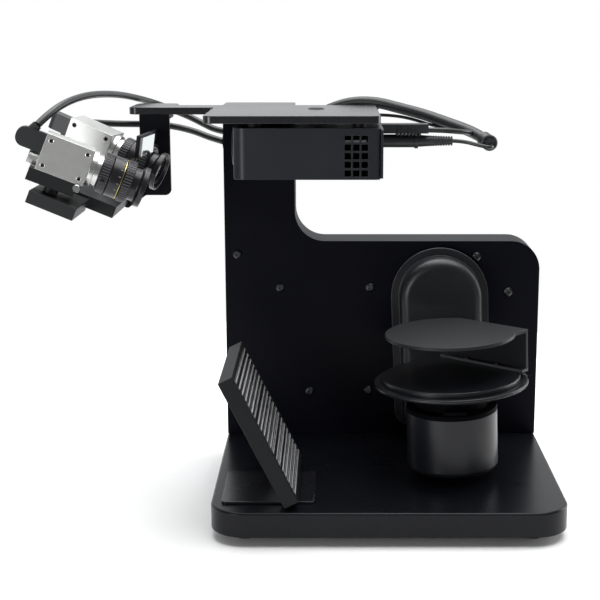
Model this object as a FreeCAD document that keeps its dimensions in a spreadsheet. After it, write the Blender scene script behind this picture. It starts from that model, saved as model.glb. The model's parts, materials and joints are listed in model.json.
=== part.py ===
import FreeCAD, Part
import math
import os
import re

from FreeCAD import Placement, Rotation, Vector

# Desktop 3d scanner: base and tower, a hanging projector and stereo camera pair, a swing arm with
# a turntable, and a leaning texture lamp. Millimetres, +X right, +Y back, +Z up.

doc = FreeCAD.newDocument("desktop_scanner")
sheet = doc.addObject("Spreadsheet::Sheet", "sizes")

DRIVING = {
    # base slab
    "base_width": 280.0,
    "base_depth": 240.0,
    "base_thick": 20.0,
    "base_corner": 28.0,
    "base_edge": 1.2,
    "base_wall": 4.0,
    "base_top_wall": 5.0,
    "cover_thick": 2.5,
    "seat_gap": 0.2,
    "foot_radius": 10.0,
    "foot_height": 8.0,
    "foot_inset": 27.0,
    "foot_screw_radius": 2.0,
    "boss_wall": 4.0,
    # tower
    "tower_depth": 39.0,
    "panel_thick": 4.0,
    "shoulder_height": 178.0,
    "column_width": 62.4,
    "column_height": 291.5,
    "shoulder_radius": 26.0,
    "crook_radius": 26.5,
    "rear_wall": 2.5,
    "screw_head_radius": 4.2,
    "screw_head_height": 2.2,
    "screw_shank_radius": 2.0,
    "screw_length": 14.0,
    "socket_flat_radius": 1.5,
    "screw_clearance": 0.05,
    # swing drive
    "pivot_offset": 50.8,
    "pivot_height": 130.0,
    "shaft_radius": 6.0,
    "bearing_radius": 13.0,
    "bearing_width": 6.0,
    "bearing_wall": 4.0,
    "running_gap": 0.05,
    "pulley_radius": 20.0,
    "motor_pulley_radius": 6.0,
    "pulley_width": 7.0,
    "belt_thick": 1.5,
    "belt_reach": 62.0,
    "motor_size": 35.0,
    "motor_length": 17.0,
    "motor_shaft_radius": 2.5,
    # swing arm and turntable pod
    "rest_swing": 2.2,
    "arm_gap": 3.0,
    "arm_flange_radius": 42.8,
    "arm_flange_thick": 4.0,
    "arm_boss_radius": 36.0,
    "arm_reach": 26.0,
    "arm_edge": 8.0,
    "arm_clearance": 12.0,
    "arm_corner": 13.0,
    "neck_width": 50.0,
    "neck_height": 34.0,
    "pod_radius": 37.4,
    "pod_clearance": 7.5,
    "pod_height": 53.3,
    "pod_forward": 110.0,
    "pod_wall": 3.0,
    "pod_edge": 5.0,
    "lid_thick": 4.0,
    "tab_height": 3.2,
    "tab_width": 18.0,
    "tab_thick": 4.0,
    "hub_radius": 29.0,
    "disc_lift": 0.8,
    "disc_radius": 63.0,
    "disc_thick": 4.4,
    "disc_rise": 20.7,
    "adapter_radius": 56.5,
    "adapter_thick": 4.0,
    "spindle_radius": 6.0,
    "table_motor_radius": 17.5,
    "table_motor_length": 30.0,
    "platform_radius": 53.0,
    "platform_rise": 35.5,
    "platform_thick": 2.8,
    "web_width": 88.0,
    "web_reach": 46.0,
    "web_foot": 8.0,
    "platform_hole_radius": 1.6,
    "web_turn": 45.0,
    # top plate and camera bracket
    "top_thick": 6.0,
    "plate_left": 145.0,
    "plate_right": -7.0,
    "plate_forward": 133.5,
    "plate_corner": 7.0,
    "camera_arm_end": 217.0,
    "camera_arm_forward": 32.0,
    "camera_pad_right": 180.0,
    "camera_pad_behind": 25.0,
    "bracket_left": 208.0,
    "bracket_right": 182.5,
    "bracket_thick": 4.0,
    "bracket_drop": 68.5,
    "bracket_flange": 30.0,
    # projector
    "projector_left": 122.0,
    "projector_right": 5.0,
    "projector_forward": 132.0,
    "projector_depth": 108.0,
    "projector_height": 40.0,
    "projector_corner": 10.0,
    "projector_wall": 2.0,
    "spacer_height": 3.5,
    "spacer_radius": 5.0,
    "end_panel_thick": 2.0,
    "vent_size": 4.9,
    "vent_pitch_across": 6.55,
    "vent_pitch_up": 6.7,
    "projector_lens_radius": 11.0,
    "projector_lens_length": 12.0,
    "wheel_radius": 14.0,
    "wheel_width": 3.4,
    "lever_length": 3.0,
    "engine_length": 60.0,
    "engine_width": 54.0,
    "engine_height": 26.0,
    "engine_board_length": 90.0,
    "engine_board_width": 80.0,
    "engine_inset": 14.0,
    "dc_hole_radius": 2.9,
    "video_hole_width": 14.4,
    "video_hole_height": 4.8,
    # mirror
    "mirror_length": 40.0,
    "mirror_height": 15.0,
    "mirror_thick": 2.0,
    "holder_thick": 3.0,
    # cameras
    "camera_length": 38.0,
    "camera_size": 29.0,
    "camera_hole_radius": 1.5,
    "io_socket_radius": 5.0,
    "io_socket_length": 8.0,
    "camera_pitch": 22.5,
    "camera_yaw": 10.0,
    "ring_radius": 14.2,
    "ring_step_radius": 12.6,
    "ring_length": 8.5,
    "lens_core_radius": 11.5,
    "lens_bore_radius": 9.5,
    "focus_radius": 15.5,
    "focus_width": 8.0,
    "barrel_radius": 16.2,
    "barrel_width": 10.0,
    "iris_radius": 16.4,
    "iris_width": 7.6,
    "lens_neck_radius": 13.0,
    "lens_neck_length": 5.0,
    "lens_bell_radius": 16.0,
    "lens_bell_length": 6.0,
    "axial_gap": 0.2,
    "thumb_radius": 1.7,
    "thumb_length": 4.6,
    "adapter_block_height": 10.0,
    "post_radius": 6.0,
    "post_height": 5.0,
    "block_height": 10.0,
    "block_length": 38.0,
    # texture lamp
    "lamp_edge": 81.6,
    "lamp_length": 111.0,
    "lamp_width": 115.0,
    "lamp_thick": 12.3,
    "lamp_lean": 26.5,
    "lamp_front": 4.0,
    "lamp_wall": 2.5,
    "lamp_border": 4.0,
    "louvre_base": 1.4,
    "rib_height": 1.6,
    "rib_width": 2.6,
    "rib_pitch": 5.2,
    "lamp_board_thick": 1.6,
    "stand_thick": 2.0,
    "stand_left": 131.5,
    "stand_right": 58.0,
    "stand_front": 20.0,
    "stand_width": 72.0,
    "stand_back_length": 70.0,
    "stand_lip": 5.0,
    "stand_lip_width": 12.0,
    "louvre_post": 3.0,
    "louvre_gap": 0.2,
    # electronics and sockets
    "board_width": 100.0,
    "board_height": 70.0,
    "board_thick": 1.6,
    "rocker_width": 19.0,
    "rocker_height": 13.0,
    "rocker_depth": 12.0,
    "rocker_tip": 8.0,
    "rocker_play": 0.4,
    "rocker_pin_radius": 1.2,
    "rocker_pin_reach": 1.0,
    "bezel_wall": 1.5,
    "socket_block_width": 60.0,
    "socket_block_height": 16.0,
    "socket_floor": 3.0,
    "data_mouth_width": 8.4,
    "data_mouth_height": 2.8,
    "dc_mouth_radius": 2.75,
    "dc_pin_radius": 1.0,
    # cables
    "camera_cable_size": 5.8,
    "boot_length": 9.0,
    "boot_radius": 4.2,
    "plug_a_reach": 22.0,
    "plug_a_width": 9.0,
    "plug_a_top": 12.5,
    "plug_a_corner": 7.0,
    "plug_b_reach": 20.0,
    "plug_b_width": 12.0,
    "plug_b_height": 14.0,
    "plug_b_corner": 5.0,
    "plug_low": 3.0,
    "sleeve_size": 9.6,
    "power_lead_size": 3.2,
    "video_lead_size": 4.4,
    "sync_lead_size": 2.8,
    "grommet_lip": 2.0,
    "grommet_flange": 3.0,
    "dc_plug_radius": 5.3,
    "dc_plug_length": 32.0,
    "relief_length": 26.0,
    "video_plug_length": 38.0,
    "video_plug_width": 15.0,
    "video_plug_height": 7.4,
}

for row, (alias, number) in enumerate(DRIVING.items(), start=1):
    sheet.set(f"A{row}", alias)
    sheet.set(f"B{row}", str(number))
    sheet.setAlias(f"B{row}", alias)
doc.recompute()


class Sizes:
    """Reads a driving dimension from the sheet by its alias."""

    def __getattr__(self, alias):
        return float(getattr(sheet, alias))


s = Sizes()
WORD = re.compile(r"[a-z_]+")
parts = {}


def bound(expression):
    """The expression with each driving dimension read from the sheet."""
    return WORD.sub(lambda found: "sizes." + found.group() if found.group() in DRIVING else found.group(),
                    expression)


def bind(item, **expressions):
    for name, expression in expressions.items():
        item.setExpression(name, bound(expression))
    return item


X_AXIS = Vector(1, 0, 0)
Y_AXIS = Vector(0, 1, 0)
Z_AXIS = Vector(0, 0, 1)
ALONG_X = Rotation(Y_AXIS, 90)
ALONG_MINUS_X = Rotation(Y_AXIS, -90)
ALONG_Y = Rotation(X_AXIS, -90)
ALONG_MINUS_Y = Rotation(X_AXIS, 90)


def put(item, at=Vector(), turn=Rotation()):
    item.Placement = Placement(at, turn)
    return item


def box(name, length, width, height, at=Vector(), turn=Rotation()):
    item = doc.addObject("Part::Box", name)
    bind(item, Length=length, Width=width, Height=height)
    return put(item, at, turn)


def rod(name, radius, height, at=Vector(), turn=Rotation()):
    item = doc.addObject("Part::Cylinder", name)
    bind(item, Radius=radius, Height=height)
    return put(item, at, turn)


def cone(name, low, high, height, at=Vector(), turn=Rotation()):
    item = doc.addObject("Part::Cone", name)
    bind(item, Radius1=low, Radius2=high, Height=height)
    return put(item, at, turn)


def fuse(name, items):
    item = doc.addObject("Part::MultiFuse", name)
    item.Shapes = items
    item.Refine = True
    return item


def cut(name, base, tools):
    item = doc.addObject("Part::Cut", name)
    item.Base = base
    item.Tool = tools[0] if len(tools) == 1 else fuse(name + "_tools", tools)
    item.Refine = True
    return item


def group(name, items):
    item = doc.addObject("Part::Compound", name)
    item.Links = items
    return item


def keep(node, item, at=None, turn=None):
    """Names a finished sub-part, and places it when a place is given."""
    item.Label = node
    if at is not None:
        put(item, at, turn or Rotation())
    parts[node] = item
    return item


def plane(body, role):
    return next(f for f in body.Origin.OriginFeatures if f.Role == role)


def rounded(corners):
    """Edges through (a, b) or (a, b, radius) corners, each radius a tangent arc."""
    count = len(corners)
    legs = []
    for place in range(count):
        here = Vector(corners[place][0], corners[place][1], 0)
        radius = corners[place][2] if len(corners[place]) > 2 else 0.0
        back = (Vector(corners[place - 1][0], corners[place - 1][1], 0) - here).normalize()
        onward = corners[(place + 1) % count]
        ahead = (Vector(onward[0], onward[1], 0) - here).normalize()
        if radius <= 0:
            legs.append((here, here, None))
            continue
        half = back.getAngle(ahead) / 2
        trim = radius / math.tan(half)
        middle = here + (back + ahead).normalize() * (radius / math.sin(half) - radius)
        legs.append((here + back * trim, here + ahead * trim, middle))
    edges = []
    for place in range(count):
        start, end, middle = legs[place]
        if middle is not None:
            edges.append(Part.Arc(start, middle, end))
        following = legs[(place + 1) % count][0]
        if end.distanceToPoint(following) > 1e-6:
            edges.append(Part.LineSegment(end, following))
    return edges


def sketch(body, role, edges, offset=0.0):
    drawing = body.newObject("Sketcher::SketchObject", body.Name + "_sketch")
    drawing.AttachmentSupport = [(plane(body, role), "")]
    drawing.MapMode = "FlatFace"
    drawing.AttachmentOffset = Placement(Vector(0, 0, offset), Rotation())
    for edge in edges:
        drawing.addGeometry(edge, False)
    return drawing


def circles(spots, radius):
    return [Part.Circle(Vector(a, b, 0), Z_AXIS, radius) for a, b in spots]


def body(name):
    return doc.addObject("PartDesign::Body", name)


def pad(item, drawing, length, reverse=False):
    feature = item.newObject("PartDesign::Pad", item.Name + "_pad")
    feature.Profile = drawing
    feature.Reversed = reverse
    bind(feature, Length=length)
    doc.recompute()
    return feature


def pocket(item, drawing, length, reverse=False):
    feature = item.newObject("PartDesign::Pocket", item.Name + "_pocket")
    feature.Profile = drawing
    feature.Reversed = reverse
    bind(feature, Length=length)
    doc.recompute()
    return feature


def slab_of(name, role, edges, length, offset=0.0):
    """A body padded from one outline of edges."""
    item = body(name)
    pad(item, sketch(item, role, edges, offset), length)
    return item


def slab(name, role, corners, length, offset=0.0):
    """A body padded from one outline of corners."""
    return slab_of(name, role, rounded(corners), length, offset)


def lathe(name, profile):
    """A body turned about its own Z from (radius, height) corners."""
    item = body(name)
    drawing = sketch(item, "XZ_Plane", rounded(profile))
    feature = item.newObject("PartDesign::Revolution", name + "_turn")
    feature.Profile = drawing
    feature.ReferenceAxis = (drawing, ["V_Axis"])
    feature.Angle = 360.0
    doc.recompute()
    return item


def soften(item, kind, amount, chosen):
    """Fillets or chamfers the edges of a body that the test picks."""
    base = item.Tip
    names = [f"Edge{n}" for n, e in enumerate(base.Shape.Edges, start=1) if chosen(e)]
    feature = item.newObject("PartDesign::" + kind, item.Name + "_" + kind.lower())
    feature.Base = (base, names)
    bind(feature, **{"Radius" if kind == "Fillet" else "Size": amount})
    doc.recompute()
    return feature


def level(height, axis="z"):
    """Picks edges that lie wholly at one height."""
    return lambda edge: all(abs(getattr(v, axis.upper()) - height) < 1e-4 for v in edge.Vertexes)


def rectangle(x_low, y_low, x_high, y_high, radius=0.0):
    return [(x_low, y_low, radius), (x_high, y_low, radius), (x_high, y_high, radius), (x_low, y_high, radius)]


def ball_bearing(name, bore, outer, width, at, turn=Rotation()):
    """Outer and inner race as one sealed ring, with a shallow groove on each side."""
    groove = (outer - bore) / 4
    middle = (outer + bore) / 2
    depth = width / 8
    profile = [(bore, 0), (middle - groove, 0), (middle - groove, depth), (middle + groove, depth),
               (middle + groove, 0), (outer, 0), (outer, width), (middle + groove, width),
               (middle + groove, width - depth), (middle - groove, width - depth),
               (middle - groove, width), (bore, width)]
    return put(lathe(name, profile), at, turn)


def button_screw(name, at, turn=Rotation()):
    """A button-head screw along +Z, its seat at the origin and its shank below."""
    head = [(0, -s.screw_length), (s.screw_shank_radius, -s.screw_length), (s.screw_shank_radius, 0),
            (s.screw_head_radius, 0), (s.screw_head_radius - 0.4, s.screw_head_height * 0.62, 1.0),
            (s.socket_flat_radius * 1.6, s.screw_head_height), (0, s.screw_head_height)]
    item = lathe(name, head)
    hexagon = [(s.socket_flat_radius * math.cos(math.radians(a)),
                s.socket_flat_radius * math.sin(math.radians(a)))
               for a in range(0, 360, 60)]
    pocket(item, sketch(item, "XY_Plane", rounded(hexagon), s.screw_head_height), "screw_head_height * 0.6")
    return put(item, at, turn)


# Derived places shared by several pieces
deck = s.foot_height + s.base_thick
half_width = s.base_width / 2
half_depth = s.base_depth / 2
tower_back = half_depth
tower_front = tower_back - s.tower_depth
panel_back = tower_front + s.panel_thick
column_right = -half_width + s.column_width
column_top = deck + s.column_height
plate_top = column_top + s.top_thick
inner_back = tower_back - s.rear_wall


def behind_front(distance):
    """The Y of a place measured back from the base's front edge."""
    return distance - half_depth


def before_tower(distance):
    """The Y of a place measured forward from the tower's front face."""
    return tower_front - distance


def below_column(distance):
    """The height of a place measured down from the column's top."""
    return column_top - distance


# Base
foot_x = half_width - s.foot_inset
foot_y = half_depth - s.foot_inset
foot_spots = [(x * foot_x, y * foot_y) for x in (-1, 1) for y in (-1, 1)]
base = slab("base", "XY_Plane", rectangle(-half_width, -half_depth, half_width, half_depth, s.base_corner),
            "base_thick")
soften(base, "Chamfer", "base_edge", level(s.base_thick))
hollow = s.base_wall
hollow_outline = rectangle(-half_width + hollow, -half_depth + hollow, half_width - hollow,
                           half_depth - hollow, s.base_corner - hollow)
pocket(base, sketch(base, "XY_Plane", rounded(hollow_outline)), "base_thick - base_top_wall", True)
boss_radius = s.foot_screw_radius + s.boss_wall
pad(base, sketch(base, "XY_Plane", circles(foot_spots, boss_radius), s.cover_thick),
    "base_thick - base_top_wall - cover_thick")
pocket(base, sketch(base, "XY_Plane", circles(foot_spots, s.foot_screw_radius + s.screw_clearance),
                    s.cover_thick), "base_thick - base_top_wall - cover_thick", True)
keep("base_shell", base, Vector(0, 0, s.foot_height))

inset = s.base_wall + s.seat_gap
cover = slab("cover", "XY_Plane", rectangle(-half_width + inset, -half_depth + inset, half_width - inset,
                                            half_depth - inset, s.base_corner - inset), "cover_thick")
pocket(cover, sketch(cover, "XY_Plane", circles(foot_spots, s.foot_screw_radius + s.screw_clearance)),
       "cover_thick", True)
keep("base_bottom_cover", cover, Vector(0, 0, s.foot_height))

feet = []
for number, (x, y) in enumerate(foot_spots):
    recess = s.foot_height / 2
    foot = lathe(f"foot_{number}", [
        (s.foot_screw_radius * 2, 0), (s.foot_radius - 1, 0, 0.6), (s.foot_radius, 1.6, 0.6),
        (s.foot_radius, s.foot_height), (s.foot_screw_radius + s.screw_clearance, s.foot_height),
        (s.foot_screw_radius + s.screw_clearance, recess), (s.foot_screw_radius * 2, recess)])
    feet.append(put(foot, Vector(x, y, 0)))
keep("rubber_feet", group("feet", feet))

foot_screws = []
for number, (x, y) in enumerate(foot_spots):
    length = s.foot_height / 2 + s.cover_thick + 8
    screw = lathe(f"foot_screw_{number}", [
        (0, -1.6), (s.foot_screw_radius * 2 - 0.3, -1.6), (s.foot_screw_radius * 2 - 0.3, 0),
        (s.foot_screw_radius, 0), (s.foot_screw_radius, length), (0, length)])
    foot_screws.append(put(screw, Vector(x, y, s.foot_height / 2)))

# Tower: L-shaped front panel, deep rear cover of the same outline
def tower_outline(inwards):
    left = -half_width + inwards
    return [(left, inwards if inwards else 0), (half_width - inwards, inwards if inwards else 0),
            (half_width - inwards, s.shoulder_height - inwards, s.shoulder_radius - inwards),
            (column_right - inwards, s.shoulder_height - inwards, s.crook_radius + inwards),
            (column_right - inwards, s.column_height - inwards), (left, s.column_height - inwards)]


panel_spots = [(-129.0, 166.0), (-91.0, 136.0), (-11.0, 136.0), (112.5, 132.0), (83.6, 164.0),
               (-65.0, 40.0), (-12.0, 41.0)]
panel = slab("panel", "XZ_Plane", tower_outline(0), "panel_thick")
pocket(panel, sketch(panel, "XZ_Plane", circles(panel_spots, s.screw_shank_radius + s.screw_clearance)),
       "panel_thick", True)
pivot_spot = [(s.pivot_offset, s.pivot_height)]
pocket(panel, sketch(panel, "XZ_Plane", circles(pivot_spot, s.bearing_radius + s.bearing_wall)),
       "panel_thick", True)
keep("front_panel", panel, Vector(0, panel_back, deck))

cover_depth = tower_back - panel_back
rear = slab("rear", "XZ_Plane", tower_outline(0), "tower_depth - panel_thick")
pocket(rear, sketch(rear, "XZ_Plane", rounded(tower_outline(s.rear_wall)), cover_depth),
       "tower_depth - panel_thick - rear_wall")
pad(rear, sketch(rear, "XZ_Plane", circles(panel_spots, s.screw_shank_radius + s.boss_wall), s.rear_wall),
    "tower_depth - panel_thick - rear_wall")
pocket(rear, sketch(rear, "XZ_Plane", circles(panel_spots, s.screw_shank_radius + s.screw_clearance),
                    cover_depth), "screw_length")
rocker_x = -100.0
rocker_z = 22.0
sockets_x = -30.0
sockets_z = 22.0
rocker_half = s.rocker_width / 2 + s.bezel_wall
rocker_rise = s.rocker_height / 2 + s.bezel_wall
rocker_hole = rectangle(rocker_x - rocker_half, rocker_z - rocker_rise, rocker_x + rocker_half,
                        rocker_z + rocker_rise)
sockets_hole = rectangle(sockets_x - s.socket_block_width / 2, sockets_z - s.socket_block_height / 2,
                         sockets_x + s.socket_block_width / 2, sockets_z + s.socket_block_height / 2)
pocket(rear, sketch(rear, "XZ_Plane", rounded(rocker_hole)), "rear_wall", True)
pocket(rear, sketch(rear, "XZ_Plane", rounded(sockets_hole)), "rear_wall", True)

a_entry = (27.0, 19.0)
b_entry = (13.0, 26.5)
sleeve_entry = (21.0, 11.5)
sync_entry = (21.0, 25.5)
rear_solid = put(rear, Vector(0, tower_back, deck))
entries = [
    ("a_entry", "camera_cable_size", -half_width, a_entry, ALONG_X),
    ("b_entry", "camera_cable_size", -half_width, b_entry, ALONG_X),
    ("sleeve_entry", "sleeve_size", column_right, sleeve_entry, ALONG_MINUS_X),
    ("sync_entry", "sync_lead_size", column_right, sync_entry, ALONG_MINUS_X),
]
holes = []
grommets = []
for name, bore, x, (behind, below), inward in entries:
    at = Vector(x, before_tower(-behind), below_column(below))
    holes.append(rod(name + "_hole", f"{bore} / 2 + grommet_lip", "rear_wall * 3",
                     at - inward.multVec(Z_AXIS) * s.rear_wall, inward))
    radius = getattr(s, bore) / 2
    throat = radius + s.grommet_lip
    brim = throat + s.grommet_flange / 2
    ring = lathe(name + "_grommet", [(0, -1), (brim, -1), (brim, 0), (throat, 0), (throat, s.rear_wall),
                                     (brim, s.rear_wall), (brim, s.rear_wall + 1), (0, s.rear_wall + 1)])
    grommets.append(put(ring, at, inward))
keep("rear_cover", cut("rear_shell", rear_solid, holes))
keep("cable_grommets", group("grommet_set", grommets))

screws = [button_screw(f"panel_screw_{n}", Vector(x, tower_front, deck + z), ALONG_MINUS_Y)
          for n, (x, z) in enumerate(panel_spots)]
keep("case_screws", group("case_screw_set", foot_screws + screws))

# Electronics: controller board on pillars from the rear wall, rocker switch, socket block
board_x = -58.0
board_z = 91.0
board_y = inner_back - 9
board = box("board_sheet", "board_width", "board_thick", "board_height",
            Vector(board_x - s.board_width / 2, board_y - s.board_thick, deck + board_z - s.board_height / 2))
board_pieces = [board]
chips = [(-26, 8, 24, 24, 3), (14, 10, 30, 16, 5), (-14, -20, 18, 12, 4), (28, -18, 14, 20, 6)]
for number, (across, up, wide, high, tall) in enumerate(chips):
    chip = doc.addObject("Part::Box", f"chip_{number}")
    chip.Length = wide
    chip.Width = tall
    chip.Height = high
    board_pieces.append(put(chip, Vector(board_x + across - wide / 2, board_y - s.board_thick - tall,
                                         deck + board_z + up - high / 2)))
pillar_inset = 6.0
for number, (sx, sz) in enumerate([(-1, -1), (1, -1), (-1, 1), (1, 1)]):
    board_pieces.append(rod(f"pillar_{number}", "boss_wall - 1", f"{inner_back - board_y}",
                            Vector(board_x + sx * (s.board_width / 2 - pillar_inset), board_y,
                                   deck + board_z + sz * (s.board_height / 2 - pillar_inset)), ALONG_Y))
keep("controller_board", fuse("board", board_pieces))

bezel_front = tower_back - s.rocker_depth
frame_box = box("rocker_frame", "rocker_width + bezel_wall * 2", "rocker_depth",
                "rocker_height + bezel_wall * 2",
                Vector(rocker_x - rocker_half, bezel_front, deck + rocker_z - rocker_rise))
frame_room = box("rocker_room", "rocker_width", "rocker_depth", "rocker_height",
                 Vector(rocker_x - s.rocker_width / 2, bezel_front + 2, deck + rocker_z - s.rocker_height / 2))
rocker_axis = Vector(rocker_x, tower_back - s.rocker_depth / 2, deck + rocker_z)
pin_end = s.rocker_height / 2 + s.rocker_pin_reach
pin_play = 0.1
frame_bore = rod("rocker_bore", "rocker_pin_radius + running_gap", f"{(pin_end + pin_play) * 2}",
                 rocker_axis - Z_AXIS * (pin_end + pin_play))
bezel = cut("rocker_bezel", frame_box, [frame_room, frame_bore])
rocker_profile = [(-7.6, 4.6), (0, 1.4), (7.6, 4.6), (6.0, -2.0), (-6.0, -2.0)]
rocker_scale = (s.rocker_width - 2.6) / 16.0
rocker_key = slab("rocker_key", "XY_Plane", [(a * rocker_scale, b) for a, b in rocker_profile],
                  "rocker_height - rocker_play * 2")
put(rocker_key, Z_AXIS * (s.rocker_play - s.rocker_height / 2))
rocker_pin = rod("rocker_pin", "rocker_pin_radius", f"{pin_end * 2}", Z_AXIS * -pin_end)
keep("power_rocker", fuse("rocker", [rocker_key, rocker_pin]), rocker_axis, Rotation(Z_AXIS, s.rocker_tip))

seat = s.seat_gap / 2
socket_block = box("socket_block", "socket_block_width - seat_gap", "rocker_depth",
                   "socket_block_height - seat_gap",
                   Vector(sockets_x - s.socket_block_width / 2 + seat, bezel_front,
                          deck + sockets_z - s.socket_block_height / 2 + seat))
mouth_y = bezel_front + s.socket_floor
dc_inlet = Vector(sockets_x - 18, mouth_y, deck + sockets_z)
socket_tools = [rod("dc_mouth", "dc_mouth_radius", "rocker_depth", dc_inlet, ALONG_Y)]
for number, dx in enumerate((2.2, 18.2)):
    socket_tools.append(box(f"data_mouth_{number}", "data_mouth_width", "rocker_depth", "data_mouth_height",
                            Vector(sockets_x + dx - s.data_mouth_width / 2, mouth_y,
                                   deck + sockets_z - s.data_mouth_height / 2)))
socket_pin = rod("dc_pin", "dc_pin_radius", "rocker_depth - socket_floor - 1", dc_inlet, ALONG_Y)
sockets = fuse("sockets", [cut("socket_body", socket_block, socket_tools), socket_pin])
keep("rear_sockets", group("rear_inlets", [sockets, bezel]))

# Swing drive: bearing housing in the panel, shaft, belt drive from a small geared motor
pivot = Vector(s.pivot_offset, 0, deck + s.pivot_height)
housing_outer = s.bearing_radius + s.bearing_wall
housing_length = s.panel_thick + 2 * s.bearing_width
housing = lathe("housing", [
    (s.bearing_radius - 2, 0), (housing_outer - 0.1, 0), (housing_outer - 0.1, s.panel_thick),
    (housing_outer + 6, s.panel_thick), (housing_outer + 6, s.panel_thick + 3),
    (housing_outer - 0.1, s.panel_thick + 3),
    (housing_outer - 0.1, housing_length), (s.bearing_radius, housing_length), (s.bearing_radius, 1.5),
    (s.bearing_radius - 2, 1.5)])
keep("swing_bearing_housing", housing, pivot + Y_AXIS * tower_front, ALONG_Y)
bearing_bore = s.shaft_radius + s.running_gap
race_step = s.bearing_width + 1
races = [ball_bearing(f"swing_race_{n}", bearing_bore, s.bearing_radius - 0.02, s.bearing_width,
                      pivot + Y_AXIS * (tower_front + 1.5 + n * race_step), ALONG_Y) for n in (0, 1)]
keep("swing_bearings", group("swing_races", races))

pulley_y = panel_back + s.motor_length + 1
shaft_front = tower_front - s.arm_gap - s.arm_reach / 2
shaft = rod("shaft", "shaft_radius", f"{pulley_y + s.pulley_width + 2 - shaft_front}",
            pivot + Y_AXIS * shaft_front, ALONG_Y)
keep("swing_shaft", shaft)
pulley = lathe("pulley", [
    (s.shaft_radius, 0), (s.pulley_radius + 1.5, 0), (s.pulley_radius + 1.5, 0.8), (s.pulley_radius, 0.8),
    (s.pulley_radius, s.pulley_width - 0.8), (s.pulley_radius + 1.5, s.pulley_width - 0.8),
    (s.pulley_radius + 1.5, s.pulley_width), (s.shaft_radius, s.pulley_width)])
keep("swing_pulley", pulley, pivot + Y_AXIS * pulley_y, ALONG_Y)

drive_turn = 60.0
drive_way = Vector(math.cos(math.radians(drive_turn)) * -1, 0, -math.sin(math.radians(drive_turn)))
motor_axis = pivot + drive_way * s.belt_reach
small = lathe("small_pulley", [
    (s.motor_shaft_radius, 0), (s.motor_pulley_radius + 1.5, 0), (s.motor_pulley_radius + 1.5, 0.8),
    (s.motor_pulley_radius, 0.8), (s.motor_pulley_radius, s.pulley_width - 0.8),
    (s.motor_pulley_radius + 1.5, s.pulley_width - 0.8), (s.motor_pulley_radius + 1.5, s.pulley_width),
    (s.motor_shaft_radius, s.pulley_width)])
put(small, motor_axis + Y_AXIS * pulley_y, ALONG_Y)
motor_back = panel_back + s.motor_length
motor_shaft = rod("motor_shaft", "motor_shaft_radius", f"{pulley_y + s.pulley_width - motor_back + 3}",
                  motor_axis + Y_AXIS * (motor_back - 3), ALONG_Y)
keep("motor_pulley", fuse("motor_rotor", [small, motor_shaft]))
motor_box = box("motor_block", "motor_size", "motor_length", "motor_size",
                motor_axis + Vector(-s.motor_size / 2, panel_back, -s.motor_size / 2))
motor_bore = rod("motor_bore", "motor_shaft_radius + running_gap", "motor_length",
                 motor_axis + Y_AXIS * (motor_back - 3.5), ALONG_Y)
keep("swing_motor", cut("motor_body", motor_box, [motor_bore]))


def belt_loop(grow):
    """The outline of an open belt round both pulleys, as a face in X and Z."""
    big = s.pulley_radius + s.running_gap + grow
    little = s.motor_pulley_radius + s.running_gap + grow
    apart = s.belt_reach
    lean = math.asin((big - little) / apart)
    side = []
    for sign in (1, -1):
        angle = math.pi / 2 - lean
        side.append((Vector(big * math.sin(lean), sign * big * math.cos(lean), 0),
                     Vector(apart + little * math.sin(lean), sign * little * math.cos(lean), 0), angle))
    upper_big, upper_small = side[0][0], side[0][1]
    lower_big, lower_small = side[1][0], side[1][1]
    edges = [Part.LineSegment(upper_big, upper_small).toShape(),
             Part.Arc(upper_small, Vector(apart + little, 0, 0), lower_small).toShape(),
             Part.LineSegment(lower_small, lower_big).toShape(),
             Part.Arc(lower_big, Vector(-big, 0, 0), upper_big).toShape()]
    return Part.Wire(edges)


belt_width = s.pulley_width - 2.0
belt_outer = Part.Face(belt_loop(s.belt_thick)).extrude(Z_AXIS * belt_width)
belt_inner = Part.Face(belt_loop(0.0)).extrude(Z_AXIS * belt_width)
belt = doc.addObject("Part::Feature", "belt")
belt.Shape = belt_outer.cut(belt_inner)
belt_turn = Rotation(drive_way, Y_AXIS.cross(drive_way), Y_AXIS, "ZXY")
keep("drive_belt", belt, pivot + Y_AXIS * (pulley_y + 1.0), belt_turn)

# Swing arm and turntable, built hanging straight and then swung to the photographed angle
swing = Rotation(Vector(0, -1, 0), s.rest_swing)
swing_place = Placement(pivot, Rotation()) * Placement(Vector(), swing)
arm_back = tower_front - s.arm_gap
arm_front = arm_back - s.arm_reach
arm_drop = s.pivot_height - s.arm_clearance
pod_drop = s.pivot_height - s.pod_clearance
pod_y = before_tower(s.pod_forward)


def swung(item, at=Vector(), turn=Rotation()):
    """Places a piece given relative to the swing axis, X right and Z up from it."""
    item.Placement = swing_place * Placement(at, turn)
    return item


def tombstone(radius, drop):
    """A half round over straight sides, with rounded lower corners."""
    lower = rounded([(-radius, 0), (-radius, -drop, s.arm_corner), (radius, -drop, s.arm_corner), (radius, 0)])
    crown = Part.Arc(Vector(radius, 0, 0), Vector(0, radius, 0), Vector(-radius, 0, 0))
    return lower[:-1] + [crown]


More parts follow.
